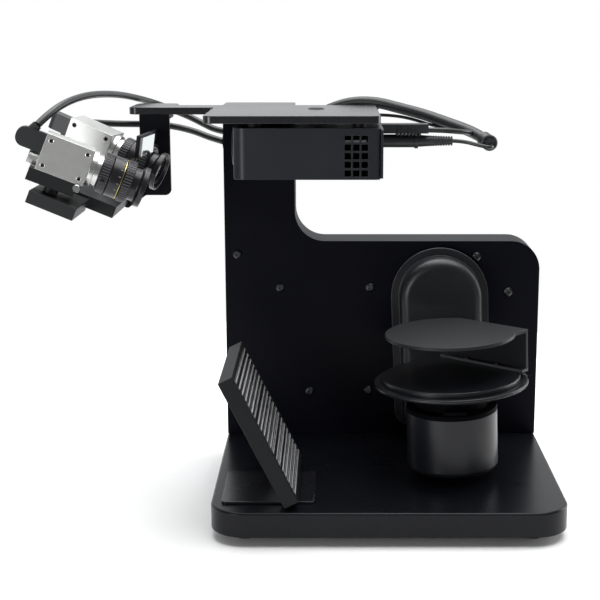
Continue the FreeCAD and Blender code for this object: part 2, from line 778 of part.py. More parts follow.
arm_flange = slab_of("arm_flange", "XZ_Plane", tombstone(s.arm_flange_radius, arm_drop), "arm_flange_thick",
                     -arm_back)
arm_boss = slab_of("arm_boss", "XZ_Plane", tombstone(s.arm_boss_radius, arm_drop), "arm_reach", -arm_back)
soften(arm_boss, "Fillet", "arm_edge", level(arm_front, "y"))
neck_low = -pod_drop + 8
neck_front = pod_y
neck = box("arm_neck", "neck_width", f"{arm_front + 8 - neck_front}", "neck_height",
           Vector(-s.neck_width / 2, neck_front, neck_low))
pod_outer = rod("pod_space", "pod_radius", "pod_height", Vector(0, pod_y, -pod_drop))
bearing_seat = rod("shaft_seat", "shaft_radius", "arm_reach", Vector(0, shaft_front, 0), ALONG_Y)
arm_solid = fuse("arm_solid", [arm_flange, arm_boss, neck])
arm = cut("arm", arm_solid, [pod_outer, bearing_seat])
keep("swing_arm", arm)
swung(arm)

pod_top = -pod_drop + s.pod_height
pod = lathe("pod", [
    (0, -pod_drop), (s.pod_radius, -pod_drop, s.pod_edge), (s.pod_radius, pod_top - s.lid_thick),
    (s.pod_radius - s.pod_wall, pod_top - s.lid_thick), (s.pod_radius - s.pod_wall, -pod_drop + s.pod_wall),
    (0, -pod_drop + s.pod_wall)])
keep("pod_housing", pod)
swung(pod, Vector(0, pod_y, 0))

disc_top = pod_top + s.disc_rise
disc_bottom = disc_top - s.disc_thick
hub_top = disc_bottom - s.disc_lift
bearing_outer = s.spindle_radius + 8.0
lid = lathe("lid", [
    (s.spindle_radius + 1, pod_top - s.lid_thick), (s.pod_radius, pod_top - s.lid_thick),
    (s.pod_radius, pod_top, 1.2),
    (s.hub_radius, pod_top), (s.hub_radius, hub_top), (bearing_outer, hub_top),
    (bearing_outer, hub_top - s.bearing_width - 0.5), (s.spindle_radius + 1, hub_top - s.bearing_width - 0.5)])
tab_outer = rod("tab_outer", "pod_radius - 1", "tab_height", Vector(0, 0, pod_top))
tab_inner = rod("tab_inner", "pod_radius - 1 - tab_thick", "tab_height", Vector(0, 0, pod_top))
tab_ring = cut("tab_ring", tab_outer, [tab_inner])
tab_wedge = box("tab_wedge", "tab_width", "pod_radius * 2", "tab_height",
                Vector(-s.tab_width / 2, -s.pod_radius * 2, pod_top))
tab = doc.addObject("Part::Common", "rim_tab")
tab.Base = tab_ring
tab.Tool = tab_wedge
collar = fuse("collar", [lid, tab])
keep("pod_collar", collar)
swung(collar, Vector(0, pod_y, 0))

race = ball_bearing("table_race", s.spindle_radius + s.running_gap, bearing_outer - 0.02, s.bearing_width,
                    Vector())
keep("table_bearing", race)
swung(race, Vector(0, pod_y, hub_top - s.bearing_width - 0.5))

motor_floor = -pod_drop + s.pod_wall
table_motor = lathe("table_motor_body", [
    (s.spindle_radius + s.running_gap, 2), (s.spindle_radius + s.running_gap, s.table_motor_length),
    (s.table_motor_radius, s.table_motor_length), (s.table_motor_radius, 0), (0, 0), (0, 2)])
keep("table_motor", table_motor)
swung(table_motor, Vector(0, pod_y, motor_floor))

spindle_bottom = motor_floor + 2.5
spindle = lathe("spindle", [(0, spindle_bottom), (s.spindle_radius, spindle_bottom),
                            (s.spindle_radius, disc_bottom),
                            (0, disc_bottom)])
keep("table_spindle", spindle)
swung(spindle, Vector(0, pod_y, 0))

disc = lathe("disc", [
    (0, disc_bottom), (s.disc_radius - 3, disc_bottom, 1.5),
    (s.disc_radius, disc_bottom + s.disc_thick * 0.4, 1.2),
    (s.disc_radius, disc_top, 1.4), (s.adapter_radius + 1.2, disc_top),
    (s.adapter_radius + 1.2, disc_top - 0.6),
    (0, disc_top - 0.6)])
keep("turntable_disc", disc)
swung(disc, Vector(0, pod_y, 0))
adapter_top = disc_top + s.adapter_thick
adapter = lathe("adapter", [
    (0, disc_top - 0.6), (s.adapter_radius, disc_top - 0.6), (s.adapter_radius, adapter_top, 1.5),
    (0, adapter_top)])
keep("adapter_plate", adapter)
swung(adapter, Vector(0, pod_y, 0))

# Platform: one bent sheet, built with its web towards +X and then turned to the back right. Its fold
# starts where the round leaves off and its web widens downwards, to a short foot on the adapter plate.
platform_top = adapter_top + s.platform_rise
web_out = s.web_reach
wing = s.web_width / 2
fold_end = math.sqrt(s.platform_radius ** 2 - web_out ** 2)
platform_disc = rod("platform_disc", "platform_radius", "platform_thick",
                    Vector(0, 0, platform_top - s.platform_thick))
trim = box("platform_trim", "platform_radius", "platform_radius * 2", "platform_thick * 3",
           Vector(web_out, -s.platform_radius, platform_top - s.platform_thick * 2))
shelf = cut("platform_shelf", platform_disc, [trim])
tail_start = 14.0
tail = box("platform_tail", f"{web_out - tail_start}", f"{wing + fold_end}", "platform_thick",
           Vector(tail_start, -wing, platform_top - s.platform_thick))
web = slab("platform_web", "YZ_Plane", [(-wing, adapter_top), (wing, adapter_top), (fold_end, platform_top),
                                        (-wing, platform_top)], "platform_thick")
put(web, Vector(web_out - s.platform_thick, 0, 0))
web_leg = box("platform_foot", "web_foot", "web_width", "platform_thick",
              Vector(web_out - s.web_foot, -wing, adapter_top))
platform_solid = fuse("platform_solid", [shelf, tail, web, web_leg])
screw_line = web_out - (s.web_foot + s.platform_thick) / 2
platform_screw_spots = [(screw_line, y) for y in (-16.0, 16.0)]
platform_holes = [rod(f"platform_hole_{n}", "platform_hole_radius", "platform_thick", Vector(x, y, adapter_top))
                  for n, (x, y) in enumerate(platform_screw_spots)]
platform = cut("platform", platform_solid, platform_holes)
keep("platform_bracket", platform)
web_turn = Rotation(Z_AXIS, s.web_turn)
swung(platform, Vector(0, pod_y, 0), web_turn)
small_screws = []
for number, (x, y) in enumerate(platform_screw_spots):
    small_screw = lathe(f"platform_screw_{number}", [
        (0, 0), (1.5, 0), (1.5, s.platform_thick), (2.2, s.platform_thick), (2.2, s.platform_thick + 0.8, 0.4),
        (0, s.platform_thick + 0.8)])
    small_screws.append(swung(small_screw, Vector(0, pod_y, 0) + web_turn.multVec(Vector(x, y, adapter_top)),
                              web_turn))
keep("platform_screws", group("platform_screw_set", small_screws))

# Top plate with its camera arm
plate_front = before_tower(s.plate_forward)
arm_front_y = before_tower(s.camera_arm_forward)
pad_back_y = before_tower(-s.camera_pad_behind)
corner = s.plate_corner
top = slab("top", "XY_Plane", [
    (-s.plate_left, plate_front, corner), (s.plate_right, plate_front, corner),
    (s.plate_right, tower_front, 2.0),
    (column_right, tower_front, 3.0), (column_right, tower_back, 4.0), (-half_width, tower_back, 4.0),
    (-half_width, tower_front, 3.0), (-s.camera_pad_right, tower_front, corner),
    (-s.camera_pad_right, pad_back_y, corner), (-s.camera_arm_end, pad_back_y, corner),
    (-s.camera_arm_end, arm_front_y, corner), (-s.plate_left, arm_front_y, 3.0)], "top_thick")
soften(top, "Chamfer", "base_edge / 3", level(s.top_thick))
slot_x = -58.0
slot_y = before_tower(51.0)
pocket(top, sketch(top, "XY_Plane", rounded(rectangle(slot_x - 7, slot_y - 1.5, slot_x + 7, slot_y + 1.5, 1.4)),
                   s.top_thick), "top_thick / 3")
keep("top_plate", top, Vector(0, 0, column_top))

# Cameras and their rail: each camera is built along +X, then pitched down and toed in
def camera_turn(yaw):
    return Rotation(Z_AXIS, yaw) * Rotation(Y_AXIS, s.camera_pitch)


cameras = {
    "a": (Vector(-249.5, before_tower(141.5), below_column(25.5)), camera_turn(s.camera_yaw)),
    "b": (Vector(-244.0, before_tower(56.0), below_column(20.5)), camera_turn(-s.camera_yaw)),
}
half_camera = s.camera_size / 2
tilt = Rotation(Y_AXIS, s.camera_pitch)
rail_up = tilt.multVec(Z_AXIS)
rail_along = tilt.multVec(X_AXIS)
block_joint = 109.0
rail_places = {"a": (163.0, block_joint, 5.0, 0.0), "b": (block_joint, s.camera_arm_forward, 24.0, 4.0)}


def rail_corner(name):
    """The lower left corner of a rail block's section, under its camera."""
    front, _, slide, extra = rail_places[name]
    centre = cameras[name][0]
    drop = half_camera + s.adapter_block_height + s.post_height + s.block_height + extra
    place = Vector(centre.x, before_tower(front), centre.z) - rail_up * drop
    return place + rail_along * (slide - s.block_length / 2)


# Camera bracket: a flange under the arm and a tongue down its front, with the rail for both cameras
bracket_bottom = column_top - s.bracket_drop
flange = box("bracket_flange", "bracket_left - bracket_right", "bracket_flange", "bracket_thick",
             Vector(-s.bracket_left, arm_front_y, column_top - s.bracket_thick))
rail_rim = 2.0
low_left = rail_corner("b") - rail_along * rail_rim - rail_up * rail_rim
low_right = low_left + rail_along * (s.block_length + rail_rim * 2)
high_left = low_left + rail_up * (s.block_height + rail_rim * 2)
tongue = slab("bracket_tongue", "XZ_Plane", [
    (-s.bracket_left, column_top), (-s.bracket_left, high_left.z + 6, 6.0), (high_left.x, high_left.z, 3.0),
    (low_left.x, low_left.z, 3.0), (low_right.x, low_right.z, 3.0),
    (-s.bracket_left + 4, bracket_bottom, 3.0), (-s.bracket_right, bracket_bottom, 5.0),
    (-s.bracket_right, column_top)], "bracket_thick")
put(tongue, Vector(0, arm_front_y + s.bracket_thick, 0))
keep("camera_bracket", fuse("bracket", [flange, tongue]))


half_length = s.camera_length / 2
ring_end = half_length + s.ring_length
focus_start = ring_end
focus_end = focus_start + s.focus_width
barrel_end = focus_end + s.barrel_width
iris_end = barrel_end + s.iris_width
neck_end = iris_end + s.lens_neck_length
lens_end = neck_end + s.lens_bell_length
hole_spots = [(x, z) for x in (-14.4, 14.4) for z in (-9.8, 9.8)]


def in_camera(item, name, offset=Vector(), turn=Rotation()):
    centre, facing = cameras[name]
    item.Placement = Placement(centre, facing) * Placement(offset, turn)
    return item


boot_root = Vector(-half_length - 13, 0, 8)
boot_lean = Rotation(Y_AXIS, 25.0)
side_root = Vector(-half_length - 11, 6, 3)
mount_rings = []
barrels = []
glasses = []
blocks = []
plugs = []
for name in cameras:
    case = box(f"camera_case_{name}", "camera_length", "camera_size", "camera_size",
               Vector(-half_length, -half_camera, -half_camera))
    drilled = []
    for number, (x, z) in enumerate(hole_spots):
        drilled.append(rod(f"camera_hole_{name}_{number}", "camera_hole_radius", "camera_size * 2",
                           Vector(x, -s.camera_size, z), ALONG_Y))
    case_cut = cut(f"camera_{name}", case, drilled)
    io_socket = rod(f"camera_io_{name}", "io_socket_radius", "io_socket_length",
                    Vector(-half_length - s.io_socket_length, 0, -8.5), ALONG_X)
    keep(f"camera_{name}_body", fuse(f"camera_full_{name}", [case_cut, io_socket]))
    in_camera(parts[f"camera_{name}_body"], name)

    ring = lathe(f"mount_ring_{name}", [
        (s.lens_core_radius, half_length), (s.ring_radius, half_length, 0.4),
        (s.ring_radius, half_length + s.ring_length * 0.5, 0.4),
        (s.ring_step_radius, half_length + s.ring_length * 0.5),
        (s.ring_step_radius, ring_end, 0.4), (s.lens_core_radius, ring_end)])
    mount_rings.append(in_camera(ring, name, Vector(), ALONG_X))

    barrel = lathe(f"barrel_{name}", [
        (s.lens_bore_radius, half_length), (s.lens_core_radius, half_length), (s.lens_core_radius, focus_end),
        (s.barrel_radius, focus_end, 0.5), (s.barrel_radius, barrel_end, 0.5), (s.lens_core_radius, barrel_end),
        (s.lens_core_radius, iris_end), (s.lens_neck_radius, iris_end), (s.lens_neck_radius, neck_end, 1.0),
        (s.lens_bell_radius, neck_end + 2.0, 1.0), (s.lens_bell_radius, lens_end, 0.6),
        (s.lens_bell_radius - 1.5, lens_end), (s.lens_bell_radius - 3.0, lens_end - 2.5),
        (s.lens_bore_radius, lens_end - 2.5)])
    barrels.append(in_camera(barrel, name, Vector(), ALONG_X))

    glass = lathe(f"front_glass_{name}", [
        (0, lens_end - 6.5), (s.lens_bore_radius, lens_end - 6.5), (s.lens_bore_radius, lens_end - 4.0),
        (s.lens_bore_radius * 0.5, lens_end - 3.1, 8.0), (0, lens_end - 3.0)])
    glasses.append(in_camera(glass, name, Vector(), ALONG_X))

    ring_bore = s.lens_core_radius + s.running_gap
    for node, low, high, radius, thumb in (("focus", focus_start, focus_end, s.focus_radius, 200.0),
                                           ("iris", barrel_end, iris_end, s.iris_radius, 60.0)):
        turning = lathe(f"{node}_{name}", [
            (ring_bore, low + s.axial_gap), (radius, low + s.axial_gap, 0.6), (radius, high - s.axial_gap, 0.6),
            (ring_bore, high - s.axial_gap)])
        angle = math.radians(thumb)
        away = Vector(0, math.cos(angle), math.sin(angle))
        thumb_screw = rod(f"{node}_thumb_{name}", "thumb_radius", "thumb_length",
                          Vector((low + high) / 2, 0, 0) + away * (radius - 1.0), Rotation(Z_AXIS, away))
        put(turning, Vector(), ALONG_X)
        keep(f"{node}_ring_{name}", fuse(f"{node}_full_{name}", [turning, thumb_screw]))
        in_camera(parts[f"{node}_ring_{name}"], name)

    adapter_low = -half_camera - s.adapter_block_height
    adapter_block = box(f"mount_block_{name}", "camera_length", "camera_size", "adapter_block_height")
    blocks.append(in_camera(adapter_block, name, Vector(-half_length - 4, -half_camera, adapter_low)))
    sink = 1.0
    post_length = s.post_height + rail_places[name][3] + sink
    post = rod(f"mount_post_{name}", "post_radius", f"{post_length}")
    blocks.append(in_camera(post, name, Vector(-2, 0, adapter_low - post_length)))
    if name == "a":
        plug_end = -half_length - s.plug_a_reach
        plug = slab("plug_a", "XZ_Plane", [
            (-half_length, -s.plug_low), (-half_length, s.plug_a_top),
            (plug_end, s.plug_a_top, s.plug_a_corner),
            (plug_end, -s.plug_low, s.plug_a_corner)], "plug_a_width")
        boot = cone("boot_a", "boot_radius", "camera_cable_size / 2 + 0.8", "boot_length", boot_root, boot_lean)
        put(plug, Vector(0, s.plug_a_width / 2, 0))
    else:
        plug_end = -half_length - s.plug_b_reach
        wide = s.plug_b_width / 2
        plug = slab("plug_b", "XY_Plane", [
            (-half_length, -wide), (-half_length, wide), (plug_end, wide, s.plug_b_corner),
            (plug_end, -wide, s.plug_b_corner)], "plug_b_height", -s.plug_low)
        boot = cone("boot_b", "boot_radius", "camera_cable_size / 2 + 0.8", "boot_length - 2", side_root,
                    ALONG_Y)
    plug_whole = fuse(f"plug_full_{name}", [plug, boot])
    plugs.append(in_camera(plug_whole, name))
keep("lens_mount_rings", group("mount_ring_set", mount_rings))
keep("lens_barrels", group("barrel_set", barrels))
keep("camera_plugs", group("plug_set", plugs))

# Rail blocks under the cameras: tilted with them but square to the bracket they run back to
rail_blocks = []
for name, (front, back, slide, extra) in rail_places.items():
    block = doc.addObject("Part::Box", f"rail_block_{name}")
    bind(block, Length="block_length", Height="block_height")
    block.Width = front - back
    rail_blocks.append(put(block, rail_corner(name), tilt))
keep("camera_mounts", fuse("camera_mount_set", blocks + rail_blocks))

# Projector hung under the top plate on spacers
projector_top = column_top - s.spacer_height
projector_bottom = projector_top - s.projector_height
projector_front = before_tower(s.projector_forward)
projector_back = projector_front + s.projector_depth
projector_x = (-s.projector_left, -s.projector_right)
projector_middle = (projector_front + projector_back) / 2
case_right = -s.projector_right - s.end_panel_thick
shell = slab("projector_case", "XY_Plane", [
    (projector_x[0], projector_front, s.projector_corner),
    (case_right, projector_front, s.projector_corner - 6.0),
    (case_right, projector_back, s.projector_corner - 6.0),
    (projector_x[0], projector_back, s.projector_corner)],
    "projector_height")
wall = s.projector_wall
pocket(shell, sketch(shell, "XY_Plane", rounded([
    (projector_x[0] + wall, projector_front + wall, s.projector_corner - wall),
    (case_right - wall, projector_front + wall, 2.0), (case_right - wall, projector_back - wall, 2.0),
    (projector_x[0] + wall, projector_back - wall, s.projector_corner - wall)]), wall),
    "projector_height - projector_wall * 2", True)
put(shell, Vector(0, 0, projector_bottom))
vents = []
vent_left = -35.0
vent_low = projector_bottom + 2.5
for column in range(3):
    for line in range(5):
        vents.append(box(f"vent_{column}_{line}", "vent_size", "projector_wall * 2", "vent_size",
                         Vector(vent_left + column * s.vent_pitch_across, projector_front - wall / 2,
                                vent_low + line * s.vent_pitch_up)))
lens_y = projector_middle
lens_z = projector_bottom + s.projector_height / 2
lens_hole = rod("projector_lens_hole", "projector_lens_radius + 0.1", "projector_wall * 3",
                Vector(projector_x[0] - wall, lens_y, lens_z), ALONG_X)
keep("projector_case", cut("projector_shell", shell, vents + [lens_hole]))

end_plate = slab("end_plate", "YZ_Plane", rectangle(projector_front + 0.6, 0.6, projector_back - 0.6,
                                                    s.projector_height - 0.6, 3.0), "end_panel_thick")
put(end_plate, Vector(case_right, 0, projector_bottom))
socket_y = before_tower(79.0)
dc_z = below_column(17.9)
video_z = below_column(9.1)
hole_x = case_right - s.end_panel_thick
dc_hole = rod("dc_hole", "dc_hole_radius", "end_panel_thick * 3", Vector(hole_x, socket_y, dc_z), ALONG_X)
video_hole = box("video_hole", "end_panel_thick * 3", "video_hole_width", "video_hole_height",
                 Vector(hole_x, socket_y - s.video_hole_width / 2, video_z - s.video_hole_height / 2))
keep("projector_end_panel", cut("projector_end", end_plate, [dc_hole, video_hole]))

lens_tip = projector_x[0] - 4.0
projector_lens = lathe("projector_tube", [
    (s.projector_lens_radius - 3, 0), (s.projector_lens_radius, 0),
    (s.projector_lens_radius, s.projector_lens_length + 4),
    (s.projector_lens_radius - 1, s.projector_lens_length + 4),
    (s.projector_lens_radius - 3, s.projector_lens_length)])
keep("projector_lens_tube", projector_lens, Vector(lens_tip + s.projector_lens_length + 4, lens_y, lens_z),
     ALONG_MINUS_X)
projector_glass = lathe("projector_glass", [
    (0, s.projector_lens_length - 4), (s.projector_lens_radius - 3, s.projector_lens_length - 4),
    (s.projector_lens_radius - 3, s.projector_lens_length - 1.5), (0, s.projector_lens_length - 0.4)])
put(projector_glass, Vector(lens_tip + s.projector_lens_length + 4, lens_y, lens_z), ALONG_MINUS_X)
keep("lens_glass", group("glass_set", glasses + [projector_glass]))
focus_wheel = lathe("focus_wheel", [
    (s.projector_lens_radius + s.running_gap, 0), (s.wheel_radius, 0, 0.8),
    (s.wheel_radius, s.wheel_width, 0.8),
    (s.projector_lens_radius + s.running_gap, s.wheel_width)])
wheel_lever = box("wheel_lever", "lever_length", "wheel_width", "wheel_width",
                  Vector(s.wheel_radius - 1, -s.wheel_width / 2, 0))
wheel_whole = fuse("wheel_full", [focus_wheel, wheel_lever])
keep("projector_focus_wheel", wheel_whole, Vector(projector_x[0] - s.axial_gap, lens_y, lens_z), ALONG_MINUS_X)

engine_x = projector_x[0] + s.engine_inset
engine = box("engine_block", "engine_length", "engine_width", "engine_height",
             Vector(engine_x, lens_y - s.engine_width / 2, projector_bottom + wall))
engine_board = box("engine_board", "engine_board_length", "engine_board_width", "board_thick",
                   Vector(engine_x, lens_y - s.engine_board_width / 2,
                          projector_bottom + wall + s.engine_height))
keep("projector_engine", fuse("engine", [engine, engine_board]))

spacer_spots = [(x, y) for x in (projector_x[0] + 16, case_right - 16)
                for y in (projector_front + 18, projector_back - 18)]
spacers = [rod(f"spacer_{n}", "spacer_radius", "spacer_height", Vector(x, y, projector_top))
           for n, (x, y) in enumerate(spacer_spots)]
keep("projector_spacers", group("spacer_set", spacers))

# Folding mirror on its holder, which reaches forward from the bracket
mirror_yaw = -5.7
mirror_turn = Rotation(Z_AXIS, mirror_yaw) * Rotation(Y_AXIS, 8.0)
mirror_centre = Vector(-193.0, before_tower(97.0), below_column(19.5))
mirror_at = Placement(mirror_centre, mirror_turn)
mirror = box("mirror_plate", "mirror_thick", "mirror_length", "mirror_height")
mirror.Placement = mirror_at * Placement(
    Vector(-s.mirror_thick / 2, -s.mirror_length / 2, -s.mirror_height / 2), Rotation())
keep("mirror_glass", mirror)
holder = box("holder_plate", "holder_thick", "mirror_length + 2", "mirror_height + 2")
holder.Placement = mirror_at * Placement(
    Vector(-s.mirror_thick / 2 - s.holder_thick, -s.mirror_length / 2 - 1, -s.mirror_height / 2 - 1),
    Rotation())
holder_end = mirror_centre.y + s.mirror_length / 2 * math.cos(math.radians(mirror_yaw)) + 0.2
holder_x = mirror_centre.x - s.mirror_length / 2 * math.sin(math.radians(mirror_yaw)) - s.mirror_thick / 2
holder_arm = box("holder_arm", "holder_thick", f"{arm_front_y - holder_end}",
                 "mirror_height / 2", Vector(holder_x - s.holder_thick, holder_end, mirror_centre.z))
keep("mirror_holder", fuse("holder", [holder, holder_arm]))

# Texture lamp leaning on its bent stand: local X along the lean, local Y back, local Z out of the face
lean = 90.0 - s.lamp_lean
lamp_way = Vector(-math.cos(math.radians(lean)), 0, math.sin(math.radians(lean)))
lamp_out = Vector(math.sin(math.radians(lean)), 0, math.cos(math.radians(lean)))
lamp_turn = Rotation(lamp_way, lamp_out.cross(lamp_way), lamp_out, "ZXY")
lamp_base = Vector(-s.lamp_edge, behind_front(s.lamp_front), deck + s.stand_thick)
lamp_back = lamp_base + Y_AXIS * s.lamp_width
lamp_at = Placement(lamp_back, lamp_turn)


def in_lamp(item, offset=Vector()):
    item.Placement = lamp_at * Placement(offset, Rotation())
    return item


lamp_box = box("lamp_box", "lamp_length", "lamp_width", "lamp_thick")
lamp_room = box("lamp_room", "lamp_length - lamp_border * 2", "lamp_width - lamp_border * 2", "lamp_thick",
                Vector(s.lamp_border, s.lamp_border, s.lamp_wall))
lamp_case = cut("lamp_case", lamp_box, [lamp_room])
keep("lamp_housing", lamp_case)
in_lamp(lamp_case)
board_gap = 0.5
lamp_board = box("lamp_leds", f"lamp_length - lamp_border * 2 - {board_gap * 2}",
                 f"lamp_width - lamp_border * 2 - {board_gap * 2}", "lamp_board_thick")
keep("lamp_board", lamp_board)
in_lamp(lamp_board, Vector(s.lamp_border + board_gap, s.lamp_border + board_gap, s.lamp_wall))
louvre_low = s.lamp_thick - s.louvre_base - s.rib_height
louvre_edge = s.lamp_border + s.louvre_gap
louvre_plate = box("louvre_plate", "lamp_length - lamp_border * 2 - louvre_gap * 2",
                   "lamp_width - lamp_border * 2 - louvre_gap * 2", "louvre_base",
                   Vector(louvre_edge, louvre_edge, louvre_low))
inside = s.lamp_length - 2 * s.lamp_border
rib_count = int((inside - s.rib_width - s.louvre_gap * 2) / s.rib_pitch) + 1
rib_start = s.lamp_border + (inside - (rib_count - 1) * s.rib_pitch - s.rib_width) / 2
ribs = [box(f"rib_{n}", "rib_width", "lamp_width - lamp_border * 2 - louvre_gap * 2", "rib_height",
            Vector(rib_start + n * s.rib_pitch, louvre_edge,
                   louvre_low + s.louvre_base)) for n in range(rib_count)]
post_low = s.lamp_border + board_gap
post_far = inside - s.louvre_post - board_gap * 2
post_wide = s.lamp_width - 2 * s.lamp_border - s.louvre_post - board_gap * 2
post_rise = louvre_low - s.lamp_wall - s.lamp_board_thick
louvre_posts = [box(f"louvre_post_{n}", "louvre_post", "louvre_post", f"{post_rise}",
                    Vector(post_low + a * post_far, post_low + b * post_wide, s.lamp_wall + s.lamp_board_thick))
                for n, (a, b) in enumerate([(0, 0), (1, 0), (0, 1), (1, 1)])]
louvre = fuse("louvre", [louvre_plate] + ribs + louvre_posts)
keep("lamp_louvre", louvre)
in_lamp(louvre)

stand_y = behind_front(s.stand_front)
stand_plate = slab("stand_plate", "XY_Plane", rectangle(-s.stand_left, stand_y, -s.stand_right,
                                                        stand_y + s.stand_width, 4.0), "stand_thick")
put(stand_plate, Vector(0, 0, deck))
stand_lip = box("stand_lip", "stand_thick", "stand_lip_width", "stand_lip",
                Vector(-s.stand_right - s.stand_thick, stand_y + 5, deck))
stand_back = box("stand_back", "stand_back_length", "stand_width", "stand_thick")
in_lamp(stand_back, Vector(0, s.lamp_width - (s.stand_front - s.lamp_front) - s.stand_width, -s.stand_thick))
keep("lamp_stand", fuse("stand", [stand_plate, stand_lip, stand_back]))


# Cables: straight runs joined by tangent arcs
def tube(node, points, diameter):
    """Sweeps one round cord through hand-chosen points and prints its arc radii."""
    path = []
    radii = []
    here = points[0]
    for place in range(1, len(points) - 1):
        back = points[place - 1] - points[place]
        ahead = points[place + 1] - points[place]
        shorter = min(back.Length, ahead.Length)
        turn = math.pi - back.getAngle(ahead)
        radius = 0.45 * shorter / math.tan(turn / 2)
        radii.append(round(radius, 1))
        trim = 0.45 * shorter
        back.normalize()
        ahead.normalize()
        start = points[place] + back * trim
        end = points[place] + ahead * trim
        depth = radius / math.cos(turn / 2) - radius
        middle = points[place] + (back + ahead).normalize() * depth
        path.append(Part.LineSegment(here, start).toShape())
        path.append(Part.Arc(start, middle, end).toShape())
        here = end
    path.append(Part.LineSegment(here, points[-1]).toShape())
    spine = Part.Wire(path)
    along = (points[1] - points[0]).normalize()
    ring = Part.Wire([Part.Circle(points[0], along, diameter / 2).toShape()])
    solid = spine.makePipeShell([ring], True, False)
    item = doc.addObject("Part::Feature", node)
    item.Shape = solid
    section = math.pi * diameter * diameter / 4
    print("cord", node, "length", round(spine.Length, 1), "least radius", min(radii), "volume ratio",
          round(solid.Volume / (section * spine.Length), 4))
    keep(node, item)
    return spine.Length


# Cord routes are read off the real scanner from its base's front edge and deck, and go with the tower's top
route_front = 201.0
route_rise = 291.5


def spot(x, back, up):
    return Vector(x, before_tower(route_front - back), below_column(route_rise - up))


def entry_spot(x, entry):
    """A cord's end, just outside the tower's wall at one of its entries."""
    behind, below = entry
    return Vector(x, before_tower(-behind), below_column(below))


def camera_point(name, x, y, z):
    centre, facing = cameras[name]
    return centre + facing.multVec(Vector(x, y, z))


boot_tip = boot_root + boot_lean.multVec(Z_AXIS) * s.boot_length
side_tip = side_root + Y_AXIS * (s.boot_length - 2)
lip = 1.0
tube("camera_a_cable", [
    camera_point("a", boot_tip.x, boot_tip.y, boot_tip.z), spot(-261.5, 65.0, 300.0), spot(-252.0, 90.0, 307.5),
    spot(-242.0, 122.0, 310.5), spot(-232.5, 158.0, 309.5), spot(-225.0, 194.0, 306.5),
    spot(-216.5, 225.0, 302.0),
    spot(-205.0, 243.5, 297.0), spot(-190.0, 250.0, 290.5), spot(-173.5, 248.0, 284.0),
    spot(-160.0, 240.5, 278.0),
    spot(-150.0, 231.5, 274.0), entry_spot(-half_width - lip, a_entry)], s.camera_cable_size)
tube("camera_b_cable", [
    camera_point("b", side_tip.x, side_tip.y, side_tip.z), spot(-266.3, 171.3, 285.3),
    spot(-261.0, 186.0, 284.5),
    spot(-250.0, 202.0, 282.0), spot(-233.0, 217.0, 280.0), spot(-212.0, 228.0, 279.0),
    spot(-190.0, 233.0, 277.5),
    spot(-169.0, 230.0, 273.0), spot(-152.5, 220.0, 267.5), entry_spot(-half_width - lip, b_entry)],
    s.camera_cable_size)
sleeve_end = spot(83.5, 128.0, 271.5)
tube("cable_sleeve", [
    entry_spot(column_right + lip, sleeve_entry), spot(-63.0, 222.0, 285.0), spot(-45.0, 219.5, 294.0),
    spot(-27.0, 215.0, 299.5), spot(-6.0, 208.0, 299.7), spot(14.0, 198.0, 295.0), spot(34.0, 186.0, 290.5),
    spot(52.5, 171.0, 284.7), spot(68.0, 154.0, 280.0), spot(78.0, 138.0, 275.7), sleeve_end], s.sleeve_size)
plug_tip = -s.projector_right
relief_end = plug_tip + s.dc_plug_length + s.relief_length
tube("power_lead", [
    Vector(relief_end, socket_y, dc_z), spot(62.0, 121.8, 273.3), spot(74.0, 116.5, 270.5),
    spot(82.5, 115.0, 268.8),
    spot(86.5, 121.0, 269.0), sleeve_end], s.power_lead_size)
tube("video_lead", [
    Vector(plug_tip + s.video_plug_length, socket_y, video_z), spot(44.0, 122.5, 282.2),
    spot(55.0, 126.5, 281.0),
    spot(65.5, 134.5, 279.5), spot(73.0, 146.0, 278.0)], s.video_lead_size)
tube("sync_lead", [
    entry_spot(column_right + lip, sync_entry), spot(-62.0, 221.0, 270.5), spot(-40.0, 217.0, 281.0),
    spot(-12.0, 209.0, 288.7), spot(9.0, 201.0, 288.5), spot(24.0, 192.0, 286.3), spot(39.0, 180.5, 282.0),
    spot(52.5, 169.0, 280.0), spot(64.5, 157.5, 279.8)], s.sync_lead_size)

plug_body = s.dc_plug_length
grip_radius = s.dc_plug_radius + 0.8
relief_radius = s.dc_plug_radius - 0.5
dc_plug = lathe("dc_plug", [
    (0, 0), (s.dc_plug_radius, 0, 0.6), (s.dc_plug_radius, plug_body - 5), (grip_radius, plug_body - 5, 0.4),
    (grip_radius, plug_body - 2, 0.4), (relief_radius, plug_body - 2), (relief_radius, plug_body),
    (s.power_lead_size / 2 + 1.2, plug_body + s.relief_length), (0, plug_body + s.relief_length)])
keep("dc_plug", dc_plug, Vector(plug_tip, socket_y, dc_z), ALONG_X)
video_plug = box("video_plug_body", "video_plug_length", "video_plug_width", "video_plug_height",
                 Vector(plug_tip, socket_y - s.video_plug_width / 2, video_z - 2.3))
keep("video_plug", video_plug)

# Checks and export, with the whole model moved so that its footprint's middle is the origin
doc.recompute()
cord_pieces = {"camera_a_cable", "camera_b_cable", "cable_sleeve", "power_lead", "video_lead", "sync_lead",
               "dc_plug", "video_plug", "camera_plugs"}
bad = [o.Name for o in doc.Objects if "Invalid" in o.State or "Error" in o.State]
for node, item in parts.items():
    if item.Shape.isNull() or not item.Shape.isValid() or not item.Shape.Solids:
        bad.append(node)
if bad:
    raise ValueError("failed objects: " + ", ".join(bad))
extent = FreeCAD.BoundBox()
for node, item in parts.items():
    if node not in cord_pieces:
        extent.add(item.Shape.optimalBoundingBox())
shift = Vector(-(extent.XMin + extent.XMax) / 2, -(extent.YMin + extent.YMax) / 2, -extent.ZMin)
os.makedirs("parts", exist_ok=True)
for node, item in parts.items():
    moved = item.Shape.copy()
    moved.translate(shift)
    moved.exportStep(os.path.join("parts", node + ".step"))
print("nodes", len(parts))
